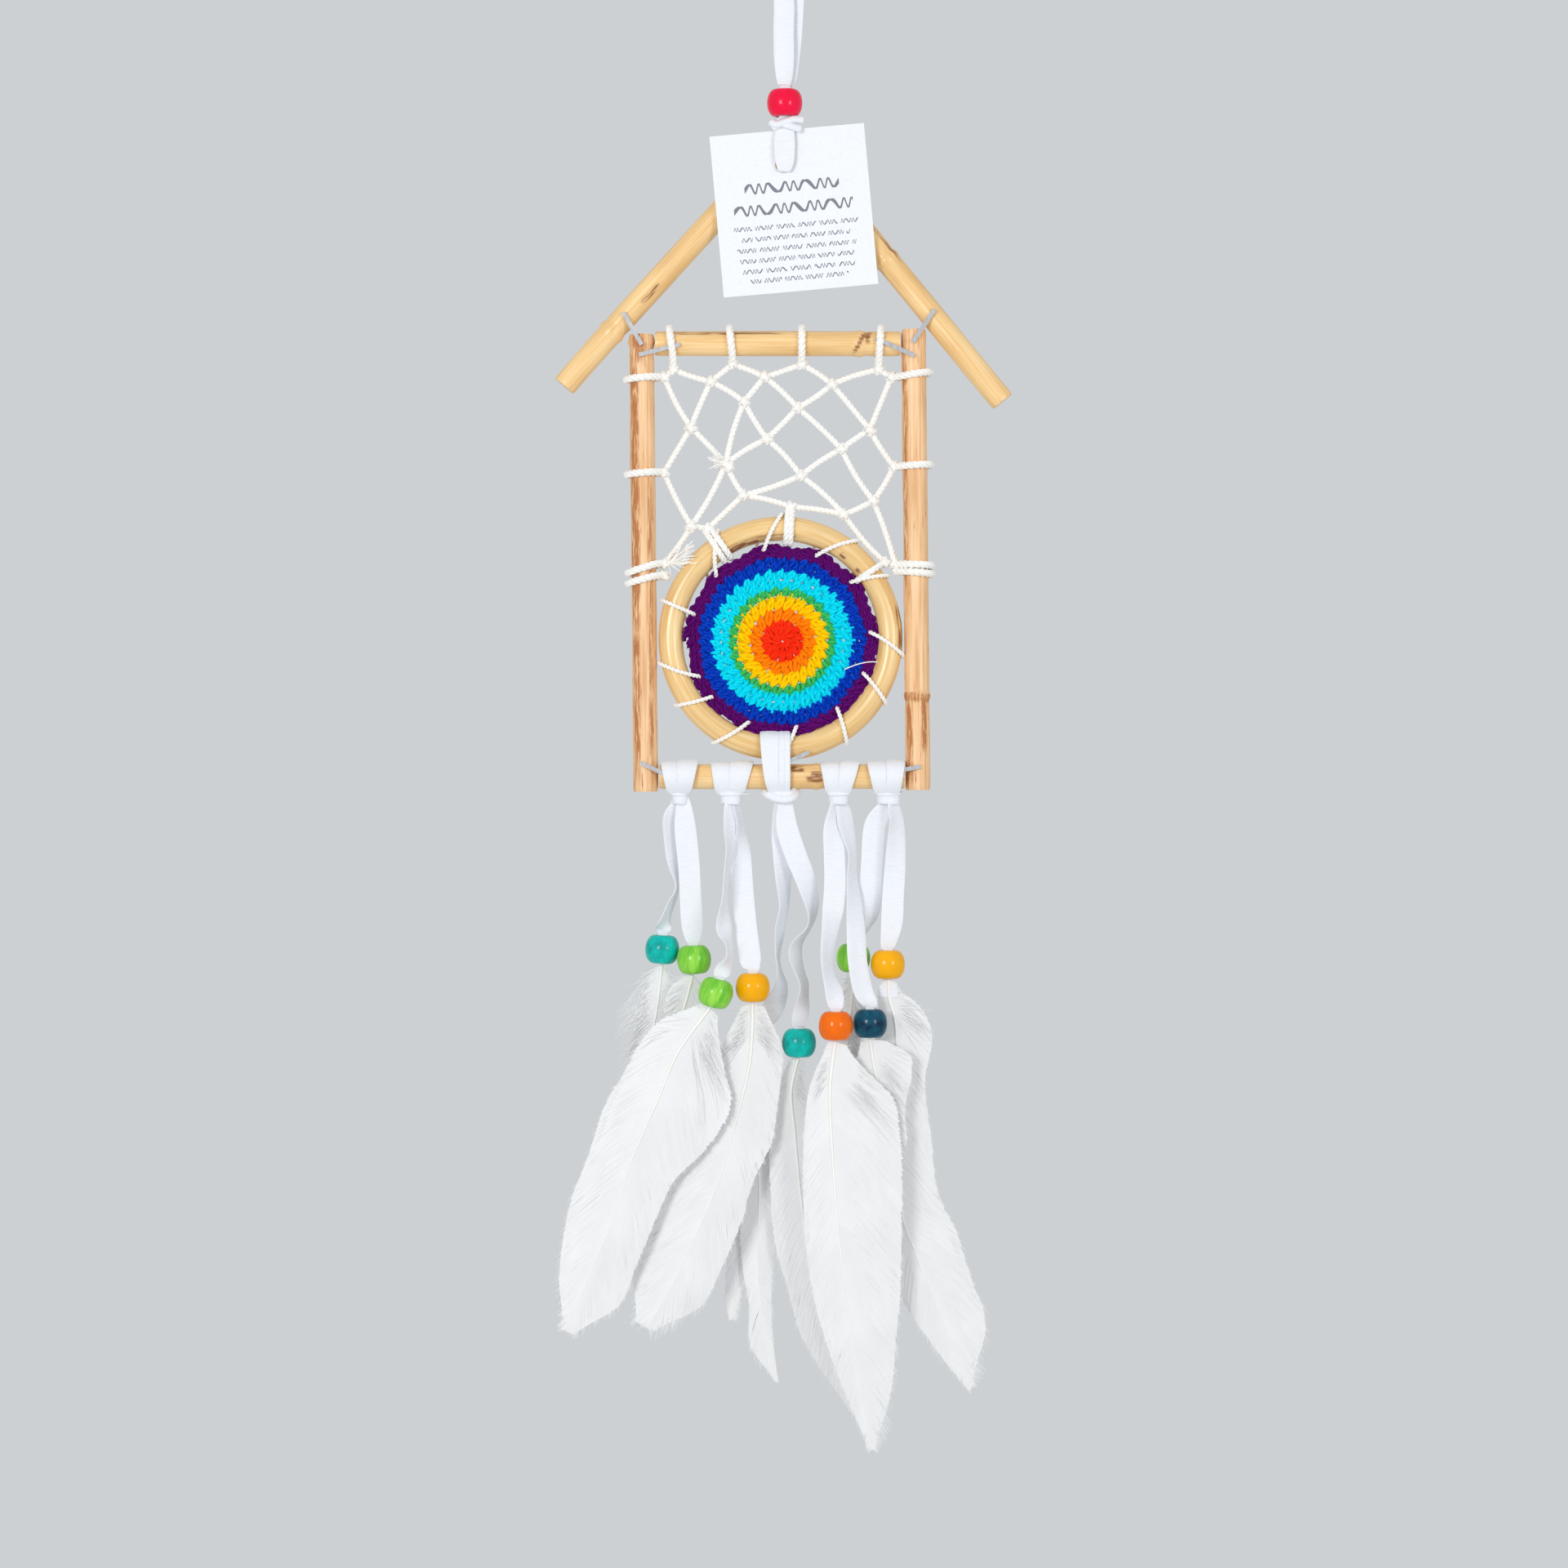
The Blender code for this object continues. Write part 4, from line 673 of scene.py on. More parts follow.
CANE = wood("cane", ((0.84, 0.50, 0.18), (0.98, 0.67, 0.31), (1.0, 0.78, 0.45)), 1.1, 0.42, 0.25,
            (0.10, 0.55, 1.0), 0.68, (0.30, 0.12, 0.035))
HOOP_CANE = wood("hoop_cane", ((0.80, 0.48, 0.16), (0.93, 0.65, 0.29), (0.98, 0.76, 0.43)), 0.9, 0.30, 0.5,
                 (0.06, 0.6, 1.0), 0.69, (0.26, 0.10, 0.03))
POST = wood("post", ((0.72, 0.35, 0.13), (0.97, 0.63, 0.34), (1.0, 0.77, 0.51)), 1.3, 0.5, 0.1,
            (0.05, 0.8, 1.0), 0.61, (0.50, 0.18, 0.045), 0.5)
CUT_END = wood("cut_end", ((0.50, 0.30, 0.13), (0.82, 0.62, 0.36), (0.90, 0.76, 0.52)), 2.6, 0.7, 0.0,
               (2.0, 2.0, 1.0), 0.62, (0.32, 0.18, 0.09))
COTTON = yarn("cotton", (0.92, 0.89, 0.83), (1.0, 0.985, 0.95), 0.85, 0.3)
YARNS = {name: yarn("yarn_" + name, *tones) for name, *tones in (
    ("red", (0.82, 0.008, 0.0), (1.0, 0.045, 0.008)), ("orange", (0.95, 0.15, 0.0), (1.0, 0.29, 0.002)),
    ("yellow", (0.95, 0.50, 0.0), (1.0, 0.68, 0.0)), ("green", (0.02, 0.33, 0.07), (0.07, 0.62, 0.16)),
    ("cyan", (0.0, 0.55, 0.70), (0.003, 0.85, 1.0)), ("blue", (0.0, 0.012, 0.24), (0.002, 0.075, 0.70)),
    ("purple", (0.05, 0.0, 0.065), (0.15, 0.004, 0.19)),
)}
# Paints: dark and light tone, then roughness and the scale of the grain where wood shows through
PAINTS = {name: bead_paint("paint_" + name, *look) for name, *look in (
    ("red", (0.85, 0.001, 0.03), (0.95, 0.004, 0.07)),
    ("teal", (0.0, 0.30, 0.28), (0.0, 0.58, 0.49), 0.35, (0.25, 0.35, 1.0)),
    ("green", (0.05, 0.42, 0.015), (0.33, 0.74, 0.08), 0.3, (0.1, 0.36, 1.0)),
    ("yellow", (0.90, 0.39, 0.0), (0.97, 0.46, 0.0)), ("orange", (0.86, 0.13, 0.0), (0.95, 0.18, 0.0)),
    ("dark_teal", (0.0, 0.018, 0.05), (0.002, 0.09, 0.15), 0.3, (0.3, 0.3, 1.0)),
)}
CARD = card_print()

# Knit on the tape, scratches on the wire, and a fine tone on the feathers
TAPE = new_material("tape", (0.86, 0.88, 0.93), 0.85, Sheen_Weight=0.2)
knit = noise_node(TAPE, (3.2, 0.35, 1.0), 3.0)
tint(TAPE, knit, (0.3, (0.80, 0.82, 0.87)), (0.65, (0.87, 0.885, 0.925)))
bump_from(TAPE, knit, 0.35, 0.0002)
STEEL = new_material("staple_wire", (0.75, 0.75, 0.77), 0.22, Metallic=1.0)
scratches = noise_node(STEEL, (900.0, 900.0, 300.0), 4.0, "Object")
tint(STEEL, scratches, (0.3, (0.60, 0.60, 0.61)), (0.6, (0.82, 0.82, 0.84)))
bump_from(STEEL, scratches, 0.08, 0.00003)
VANE = new_material("vane", (0.84, 0.85, 0.85), 0.5, Sheen_Weight=0.2)
tint(VANE, noise_node(VANE, (0.06, 0.06, 1.0), 3.0), (0.3, 0.79), (0.7, 0.86))
bump_from(VANE, noise_node(VANE, (2.2, 0.05, 1.0), 3.0), 0.35, 0.0003)
QUILL = new_material("quill", (0.95, 0.94, 0.89), 0.35, Coat_Weight=0.3)
tint(QUILL, noise_node(QUILL, (0.2, 1.0, 1.0), 3.0), (0.3, (0.93, 0.91, 0.84)), (0.7, (0.98, 0.97, 0.94)))


# ---------------------------------------------------------------- camera, light and floor
def make_camera():
    """Straight on to the middle of the view, through a long lens."""
    data = bpy.data.cameras.new("camera")
    data.lens, data.sensor_width = 100.0, 36.0
    camera = add_object("camera", data, (0.0, -VIEW_WIDTH * data.lens / data.sensor_width, VIEW_Z))
    camera.rotation_euler = (radians(90), 0.0, 0.0)
    bpy.context.scene.camera = camera


def make_light(name, place, power):
    data = bpy.data.lights.new(name, "AREA")
    data.energy = power
    data.size = LIGHT_SIZE
    light = add_object(name, data, place)
    light.rotation_euler = (LIGHT_AIM - Vector(place)).to_track_quat("-Z", "Y").to_euler()


def make_studio():
    world = bpy.data.worlds.new("studio")
    world.use_nodes = True
    world.node_tree.nodes["Background"].inputs["Color"].default_value = (0.61, 0.631, 0.651, 1.0)
    bpy.context.scene.world = world
    bpy.context.scene.view_settings.view_transform = "Standard"
    make_light("key", (-0.62, -1.25, -0.04), 7.0)
    make_light("fill", (0.80, -1.15, -0.10), 3.8)
    mesh = bpy.data.meshes.new("floor")
    edge = [(FLOOR_R * cos(turn), FLOOR_R * sin(turn), 0.0) for turn in circle(96)]
    mesh.from_pydata(edge, [], [tuple(range(len(edge)))])
    mesh.materials.append(new_material("floor", (0.75, 0.76, 0.77), 0.8))
    add_object("floor", mesh, (0.0, 0.0, FLOOR_Z))


# ---------------------------------------------------------------- wood
def stain_on(name, at, turn):
    """How dark the wood is here. at is along the stick, or degrees round the hoop."""
    dark = 0.0
    for stick, middle, reach, side, breadth, slope, strength in STAINS:
        if stick != name:
            continue
        away = abs(at - middle - slope * sin(turn)) / reach
        round_it = abs((math.degrees(turn) - side + 180) % 360 - 180) / breadth
        dark = max(dark, strength * min(1.0, max(0.0, 3 - 3 * away)) * min(1.0, max(0.0, 2 - 2 * round_it)))
    return dark


def add_wood(name, rings, stains, finish, node):
    """A closed stick with the stains that the wood material reads."""
    shape = Shape()
    shape.skin(rings, cap_finish=1)
    piece = add_piece(name, shape, (finish, CUT_END), "frame", (node,))
    piece.data.attributes.new("stain", "FLOAT", "POINT").data.foreach_set("value", stains)


def make_stick(name, kind, line, nodes):
    centres = spaced(smooth([(x, 0.0, z) for x, z in line], 12), STICK_STEP)
    seed = Vector((len(name) * 3.1, line[0][0], 0.0))
    rings, stains = [], []
    turns = circle(40)
    total = STICK_STEP * (len(centres) - 1)
    for i, (centre, (_, side, out)) in enumerate(zip(centres, frames(centres, side=Vector((0, 1, 0))))):
        at = STICK_STEP * i
        size = STICK_R - END_ROUND * math.exp(-min(at, total - at) / END_REACH)
        for node in nodes:
            size += NODE_SWELL * math.exp(-((at - node) / NODE_REACH) ** 2)
            size -= NODE_DIP * math.exp(-((at - node - NODE_TO_DIP) / NODE_REACH) ** 2)
        ring = []
        for turn in turns:
            place = seed + Vector((cos(turn) * 0.9, sin(turn) * 0.9, at * 0.045))
            rough = WOOD_ROUGH * noise.noise(place)
            if kind == "post":
                rough += POST_ROUGH * noise.noise(place * 4)
            ring.append(centre + (size + rough) * (side * cos(turn) + out * sin(turn)))
            stains.append(stain_on(name, at, turn))
        rings.append(ring)
    finish, slot = (POST, "post_wood") if kind == "post" else (CANE, "cane")
    add_wood(name + "_wood", rings, stains, finish, name)


def make_hoop():
    """A bent cane, a little thicker here and thinner there, whose ends butt under the hoop's tie."""
    rings, stains = [], []
    opening, steps = 0.55, 300
    for i in range(steps + 1):
        degrees = -90 + opening / 2 + (360 - opening) * i / steps
        outward = hoop_point(1.0, degrees) - hoop_point(0.0, degrees)
        ring = []
        for turn in circle(36):
            stains.append(stain_on("cane_hoop", degrees, turn))
            size = HOOP_CANE_R + WOOD_ROUGH * noise.noise(Vector((i * 0.06, cos(turn), sin(turn))))
            ring.append(hoop_point(HOOP_RING_R, degrees) + size * (outward * cos(turn) + FRONT * sin(turn)))
        rings.append(ring)
    add_wood("hoop_wood", rings, stains, HOOP_CANE, "cane_hoop")


# ---------------------------------------------------------------- web and lashing
def stick_line(name, knot):
    """Centre of a loop round the stick at this knot, and the stick's direction there."""
    if name == "cane_hoop":
        away = Vector((knot.x, knot.z)) - Vector(HOOP_CENTRE)
        centre = hoop_point(HOOP_RING_R, math.degrees(math.atan2(away.y, away.x)))
        return centre, Vector((-away.y, 0.0, away.x)).normalized()
    start, end = (Vector(STICKS[name][1][i]) for i in (0, -1))
    along = (end - start).normalized()
    centre = start + along * (Vector((knot.x, knot.z)) - start).dot(along)
    return in_plane(centre), in_plane(along)


def add_knot(shape, at, along, size, rng):
    """A tight overhand knot: a wrap round the cord with two more turns laid across it."""
    for tilt, radius, shift in ((0.0, 1.0, -0.35), (0.9, 1.05, 0.25), (-0.8, 0.95, 0.1)):
        axis = Matrix.Rotation(tilt, 3, "Y") @ along + 0.25 * Vector((rng.random(), rng.random(), 0))
        axis.normalize()
        first = axis.orthogonal().normalized()
        second = axis.cross(first)
        middle = at + along * shift * size
        ring = [middle + radius * size * (first * cos(a) + second * sin(a) * 0.85) for a in circle(18)]
        shape.twisted(ring, 0.66 * size, 3.0, closed=True, sides=5)


def add_fray(shape, at, towards, count, length, spread, rng, thickness=0.14):
    """Loose fibres that fan out of a cut end."""
    for _ in range(count):
        stray = Vector((rng.uniform(-1, 1), rng.uniform(-0.5, 0.5), rng.uniform(-1, 1)))
        aim = (towards + stray * spread).normalized()
        bend = Vector((rng.uniform(-1, 1), rng.uniform(-0.6, 0.3), rng.uniform(-1, 1))) * 0.35
        reach = length * rng.uniform(0.6, 1.0)
        line = [at + aim * reach * t + bend * reach * t * t for t in QUARTERS]
        shape.tube(spaced(smooth(line, 2), reach / 7), thickness * rng.uniform(0.7, 1.1), 4)


def make_web():
    rng = random.Random(11)
    knots = {name: in_plane((x, TOP_BAR_Z - drop)) for name, (x, drop) in WEB_KNOTS.items()}
    shape = Shape()
    toward = {name: Vector() for name in knots}
    for run in WEB_RUNS.split():
        first, second = run.split("-")
        start, end = knots[first], knots[second]
        along = (end - start).normalized()
        for name in (first, second):
            toward[name] += Vector((abs(along.x), 0, along.z))
        bow = rng.uniform(-0.035, 0.035) * (end - start).length
        sag = along.cross(FRONT) * bow - FRONT * rng.uniform(-0.5, 0.3)
        line = [start - FRONT * 0.2] + [start.lerp(end, t) + sag * sin(pi * t) for t in QUARTERS[1:]]
        shape.twisted(smooth(line, 4), CORD_R, RUN_PITCH)
    for name, stick, near, far in WEB_LOOPS:
        knot = knots[name]
        centre, along = stick_line(stick, knot)
        out = (knot - centre).normalized()
        start = knot + along * near
        if stick == "cane_hoop":
            thick, stick_r = THICK_ON_HOOP * CORD_R, HOOP_CANE_R
        else:
            thick, stick_r = THICK_ON_STICK * CORD_R, STICK_R
        grip = stick_r + 0.85 * thick
        line = [start + FRONT * 0.5]
        for step in range(13):
            turn = radians(48 + 264 * step / 12)
            share = near + (far - near) * (1 - cos(turn)) / 2
            line.append(centre + along * share + grip * (out * cos(turn) + FRONT * sin(turn)))
        line.append(start - FRONT * 0.5)
        shape.twisted(smooth(line, 4), thick, LOOP_PITCH)
    for name, at in knots.items():
        along = toward[name].normalized() if toward[name].length > 0.2 else UP
        add_knot(shape, at + FRONT * 0.3, along, BIG_KNOT_SIZE if name in BIG_KNOTS else KNOT_SIZE, rng)
    low, middle = knots["l3"], knots["c1"]
    add_knot(shape, low + Vector((0, -0.3, -3.6)), UP, KNOT_SIZE, rng)
    add_knot(shape, middle + Vector((0.8, -0.8, -0.8)), Vector((1, 0, 0.3)).normalized(), 1.2, rng)
    add_fray(shape, middle + FRONT * 1.2, Vector((-1.0, -0.2, 0.25)), 26, 4.6, 0.55, rng)
    add_fray(shape, low + Vector((0.5, -0.8, -0.5)), Vector((1.0, -0.35, 0.45)), 46, 9.0, 0.32, rng, 0.2)
    add_fray(shape, low + Vector((0.5, -0.8, 0.5)), Vector((0.8, -0.35, -0.25)), 12, 4.5, 0.4, rng)
    add_piece("web_cotton", shape, (COTTON,), "frame", ("web_cord",))


def make_lashing():
    """One thread: up through the disc's edge, over the hoop, and along the back to the next stitch."""
    clear = HOOP_CANE_R + THREAD_CLEAR
    lean = clear * math.sqrt(0.5)
    points = []
    for i, (outside, inside) in enumerate(STITCHES):
        slant = outside - inside
        points += [hoop_point(STITCH_HOLE_R, inside, y) for y in (THREAD_BACK, -1.7)]
        for radius, degrees, y in (
            (-lean, inside + 0.27 * slant, -clear * 0.86), (0.0, inside + 0.57 * slant, -clear),
            (lean, inside + 0.87 * slant, -lean), (clear, outside, 0.0), (lean, inside + 0.9 * slant, lean),
            (0.0, inside + 0.5 * slant, clear), (-lean, inside + 3, clear * 0.9),
        ):
            points.append(hoop_point(HOOP_RING_R + radius, degrees, y))
        points.append(hoop_point(STITCH_RUN_R, inside + 4, THREAD_BACK + 0.5))
        if i + 1 < len(STITCHES):
            gap = STITCHES[i + 1][1] - inside
            steps = max(1, round(gap / 10))
            points += [hoop_point(STITCH_RUN_R, inside + 4 + (gap - 4) * step / steps, THREAD_BACK + 0.3)
                       for step in range(1, steps)]
    shape = Shape()
    shape.twisted(smooth(points, 5), THREAD_R, 2.6, plies=2)
    shape.tube([Vector(point) for point in smooth(WISP, 5)], 0.16, 5)
    add_piece("lashing_thread", shape, (COTTON,), "frame", ("hoop_lashing",))


# ---------------------------------------------------------------- crochet
def disc_point(radius, degrees, y):
    """A place on the disc, whose rim is drawn out a little at each stitch of the lashing."""
    nearest = min(abs((degrees - inside + 180) % 360 - 180) for _, inside in STITCHES)
    pull = RIM_BULGE * (cos(min(nearest, 18) / 18 * pi) * 0.7 - 0.15)
    return hoop_point(radius + pull * (radius / 27.0) ** 7, degrees, y) + DISC_SHIFT


def plump(t):
    """The share of its full thickness that a yarn arm has here: thin at both ends."""
    return 0.54 + 0.46 * sin(pi * min(1.0, max(0.0, t))) ** 0.7


def add_arm(shape, places, radius, sides=6):
    """One plump arm of a stitch, through places given as radius, degrees and depth."""
    line = [disc_point(*place) for place in places]
    shape.twisted(smooth(line, 3), radius, ARM_PITCH, plies=2, sides=sides, sizes=plump)


def add_ring(shape, radius, thick, step):
    """A strand right round the disc, inside the stitches."""
    ring = [disc_point(radius, degrees, 0.0) for degrees in range(0, 360, step)]
    shape.twisted(ring, thick, RING_PITCH, closed=True, plies=2, sides=5)


def make_crochet():
    """Rounds of stitches, each a V of two plump strands on the front and again on the back."""
    rng = random.Random(5)
    shapes = {name: Shape() for name in YARNS}
    for name, inner, outer, count, radius, turn in ROUNDS:
        step = 360 / count
        for i in range(count):
            middle = (i + turn) * step + rng.uniform(-0.08, 0.08) * step
            for side in (-1, 1):
                for hand in (-1, 1):
                    spread = hand * step * 0.46
                    arm = ((inner, middle + spread * 0.16, side * 0.15),
                           (inner + (outer - inner) * 0.45, middle + spread * 0.62, side * 0.75),
                           (outer, middle + spread, side * 0.35))
                    add_arm(shapes[name], arm, rng.uniform(0.92, 1.08) * radius, 6 if side < 0 else 5)
        if name != "red":
            for share in FILL_SHARES:
                add_ring(shapes[name], inner + (outer - inner) * share, FILL_R, 5)
    red, purple = shapes["red"], shapes["purple"]
    for i in range(12):
        degrees = 30 * i + rng.uniform(-3, 3)
        for y in (-0.55, 0.55):
            add_arm(red, ((0.45, degrees, y * 0.4), (2.2, degrees + 2, y * 1.7), (4.3, degrees, y * 0.6)), 0.92)
    for radius in (1.9, 3.6):
        add_ring(red, radius, 0.8, 15)
    for i in range(7):
        arc = [disc_point(5.4, 51.43 * i + degrees, 0.0) for degrees in range(8, 45, 6)]
        red.twisted(arc, 0.85, RING_PITCH, plies=2, sides=5)
    for row, (radius, count, thick) in enumerate(RIM_CHAINS):
        step = 360 / count
        for i in range(count):
            start = (i + 0.5 * row) * step
            for hand in (-1, 1):
                for side in (-1, 1):
                    arm = ((radius, start, side * 0.3), (radius + hand * 0.66, start + 0.6 * step, side * 0.9),
                           (radius + hand * 0.2, start + 1.25 * step, side * 0.4))
                    add_arm(purple, arm, thick * rng.uniform(0.95, 1.1))
    for degrees, reach in ((172, 28.4), (176, 29.2), (180, 28.0)):
        arm = ((26.6, degrees, -0.6), (reach - 0.4, degrees + 1, -1.9), (reach, degrees + 4, -0.8))
        add_arm(purple, arm, 0.85)
    for name, shape in shapes.items():
        replaced = ("crochet_disc",) if name == "red" else ()
        add_piece("crochet_" + name, shape, (YARNS[name],), "frame", replaced)


# ---------------------------------------------------------------- ribbons
def ribbon_from(shape, rows, thickness=0.55, camber=0.03, seed=0.0):
    """A tape through rows of x, y, z, width and turn. Returns its centre line."""
    rows = smooth(rows, 7)
    centres = [Vector(row[:3]) for row in rows]
    sides = [Vector((cos(radians(row[4])), sin(radians(row[4])), 0.0)) for row in rows]

    def lift(i, step):
        return 0.35 * noise.noise(Vector((seed, centres[i].z * 0.09, step * 0.8))) * abs(step)

    shape.strip(centres, sides, [row[3] for row in rows], thickness, camber=camber, lift=lift)
    return centres


def tail_route(number):
    """Rows from inside the knot to inside the bead's bore."""
    hitch, _, _, bead, tilt = BEADS[number]
    knot_x = sum(HITCHES[hitch][2]) / 2 if hitch in HITCHES else HOOP_TIE_X
    x, y, z, turn = TAILS[number][0]
    rows = [((x + knot_x) / 2, y * 0.8, KNOT_Z + 0.5, 3.4, turn), (x, y, z + BOTTOM_BAR_Z, 4.6, turn)]
    for x, y, z, turn in TAILS[number][1:]:
        rows.append((x, y, z + BOTTOM_BAR_Z, TAPE_WIDTH, turn))
    up = Vector((sin(radians(tilt)), 0.0, cos(radians(tilt))))
    for height, width in (*BORE_ROWS, *TAIL_ENDS.get(number, ())):
        rows.append((*below_bar(*(Vector(bead) + up * height)), width, 0.0))
    return rows


def make_bead(name, size, centre, tilt, paint, body, replaced):
    """A turned wooden bead: a barrel with rounded shoulders and a straight bore."""
    radius, height, bore = size
    half, mouth = height / 2, 0.55
    profile = []
    for step in range(17):
        angle = pi * (step / 16 - 0.5)
        wide = (radius - bore - mouth) * max(0.0, cos(angle)) ** 0.95
        profile.append((bore + mouth + wide, half * sin(angle)))
    profile += [(bore + 0.15, half - 0.15), (bore, half - mouth), (bore, mouth - half), (bore + 0.15, 0.15 - half)]
    turn = Matrix.Translation(centre) @ Matrix.Rotation(radians(tilt), 4, "Y")
    shape = Shape()
    rings = []
    for r, z in profile:
        rough = [0.05 * noise.noise(Vector((a, z, centre[0]))) for a in circle(48)]
        rings.append([turn @ Vector((r * cos(a), r * sin(a), z + up)) for a, up in zip(circle(48), rough)])
    shape.skin(rings, closed=True)
    return add_piece(name, shape, (PAINTS[paint],), body, (replaced,))


def teardrop(front, top, bottom, narrow, steps, floor=0.0):
    """Outline round the bar, as (y, z) from its axis, that narrows to the knot below."""
    made = []
    for turn in circle(steps, -pi / 2):
        y, z = -cos(turn) * front, sin(turn)
        made.append((y, z * top + floor) if z > 0 else (y * (1 - narrow * z * z), z * bottom))
    return made


def hitch_edges(z, over, under, collar):
    """Left edge, seam and right edge of the wraps at this height from the bar's centre line."""
    pinch = (collar[0] + 0.4, (collar[0] + collar[1]) / 2, collar[1] - 0.4)
    if z > PINCH_TOP:
        share = (4.3 - z) / 7.9
        return [a + (b - a) * max(0.0, share) for a, b in zip(over, under)]
    share = min(1.0, (PINCH_TOP - z) / 1.9)
    share = share * share * (3 - 2 * share)
    return [a + (b - a) * share for a, b in zip(under, pinch)]


def make_hitch(number, over, under, collar, front, top):
    """Two turns of tape side by side over the bar, gathered below it into one tight collar."""
    shape = Shape()
    for hand, grow in ((0, -0.28), (1, 0.12)):
        centres, widths = [], []
        for y, z in teardrop(front - 0.2 + grow, top + grow, 6.2, 0.55, 44):
            edges = hitch_edges(z, over, under, collar)
            left, right = edges[hand] - 0.5 * hand, edges[hand + 1] + 0.1 * (1 - hand)
            centres.append(below_bar((left + right) / 2, y, z))
            widths.append(right - left)
        shape.band(centres, ACROSS, widths, TAPE_THICKNESS, 0.03)
    middle, half = (collar[0] + collar[1]) / 2, (collar[1] - collar[0]) / 2
    turns = circle(32)
    collar_line = [(middle + (half - 0.3) * cos(a), 1.75 * sin(a), KNOT_Z + 0.12 * sin(2 * a)) for a in turns]
    shape.band([Vector(point) for point in collar_line], UP, COLLAR_HEIGHT, 0.65, -0.05)
    for drop, grow, thick in ((4.75, 0.30, 0.42), (5.7, 0.05, 0.3)):
        fold = [below_bar(middle + (half + grow) * cos(a), (1.95 + grow) * sin(a), 0.35 * cos(a + number) - drop)
                for a in turns]
        shape.tube(fold, thick, 8, closed=True, flat=0.8)
    wing = (under[2] - middle) * (1.25 if number == 2 else 0.95)
    line = [(under[0] + 1.0, -0.6, -4.2), (middle - half, -1.9, -4.9), (middle, -2.3, -5.0),
            (middle + half, -1.7, -4.8), (middle + wing, -0.4, -4.9)]
    fold = [below_bar(*point) for point in smooth(line, 6)]
    shape.tube(fold, [0.12 + 0.45 * sin(pi * i / (len(fold) - 1)) for i in range(len(fold))], 8, flat=0.7)
    shape.ball((middle, 0.0, KNOT_Z), (half - 0.4, 1.5, 1.6))
    add_piece(f"hitch_{number}_tape", shape, (TAPE,), f"hitch_{number}", (f"ribbon_hitch_{number}",))


def make_hoop_tie():
    """The strap that takes in the hoop and the bar: turns with folds between them, over a rolled collar."""
    shape = Shape()
    top = HOOP_TIE_TOP + 0.3 - BOTTOM_BAR_Z
    outline = [in_plane(point) for point in teardrop(5.2, 4.0, 6.0, 0.5, 48, top - 4.0)]
    filled = []
    for start, end in zip(outline, outline[1:] + outline[:1]):
        steps = max(1, round((end - start).length / 1.2))
        filled += [start.lerp(end, step / steps) for step in range(steps)]
    for turn, grow in enumerate((0.0, 0.35, 0.18)):
        centres, widths = [], []
        for point in filled:
            y, z = point.x, point.z
            left_x = between(HOOP_TIE_LEFT, (top - z) / (top + 5.0))
            left, right = ((left_x, -1.0), (-1.5, 0.35), (-0.1, HOOP_TIE_RIGHT))[turn]
            centres.append(below_bar((left + right) / 2, y * (1 + grow / 5), z))
            widths.append(right - left)
        shape.band(centres, ACROSS, widths, TAPE_THICKNESS, 0.02)
    front = [(HOOP_TIE_X + x, y, z) for x, y, z in HOOP_TIE_COLLAR]
    back = [(x, -y, z) for x, y, z in front[-2:0:-1]]
    ring = [below_bar(*point) for point in smooth(front + back, 4)]
    shape.tube(ring, 1.15, 12, closed=True, flat=0.8)
    inner = [(HOOP_TIE_X + (x - HOOP_TIE_X) * 0.80, y * 0.86, z + 1.5) for x, y, z in ring]
    shape.tube([Vector(point) for point in inner], 0.8, 12, closed=True, flat=0.8)
    shape.ball(below_bar(HOOP_TIE_X, 0.0, -7.0), (2.4, 1.5, 1.8))
    add_piece("hoop_tie_tape", shape, (TAPE,), "frame", ("ribbon_hitch_3",))


def make_hanging_ribbon():
    """The bundle in the bead, the loop on the card with the knot over it, the upper loop and the red bead."""
    low, high = Shape(), Shape()
    ribbon_from(low, BUNDLE, 1.9)
    ribbon_from(low, LOWER_LOOP, 0.7)
    for ear, thick in KNOT_EARS:
        low.tube([Vector(point) for point in smooth(ear, 6)], thick, 12, flat=0.8)
    loop_low = add_piece("ribbon_card_loop", low, (TAPE,), "frame", ())
    line = ribbon_from(high, UPPER_LOOP, 0.6, camber=0.04)
    loop = add_piece("ribbon_hanging_loop", high, (TAPE,), "frame", ("hanging_ribbon",))
    bead = make_bead("bead_top", RED_BEAD_SIZE, RED_BEAD_AT, 0, "red", "top_bead", "bead_red")


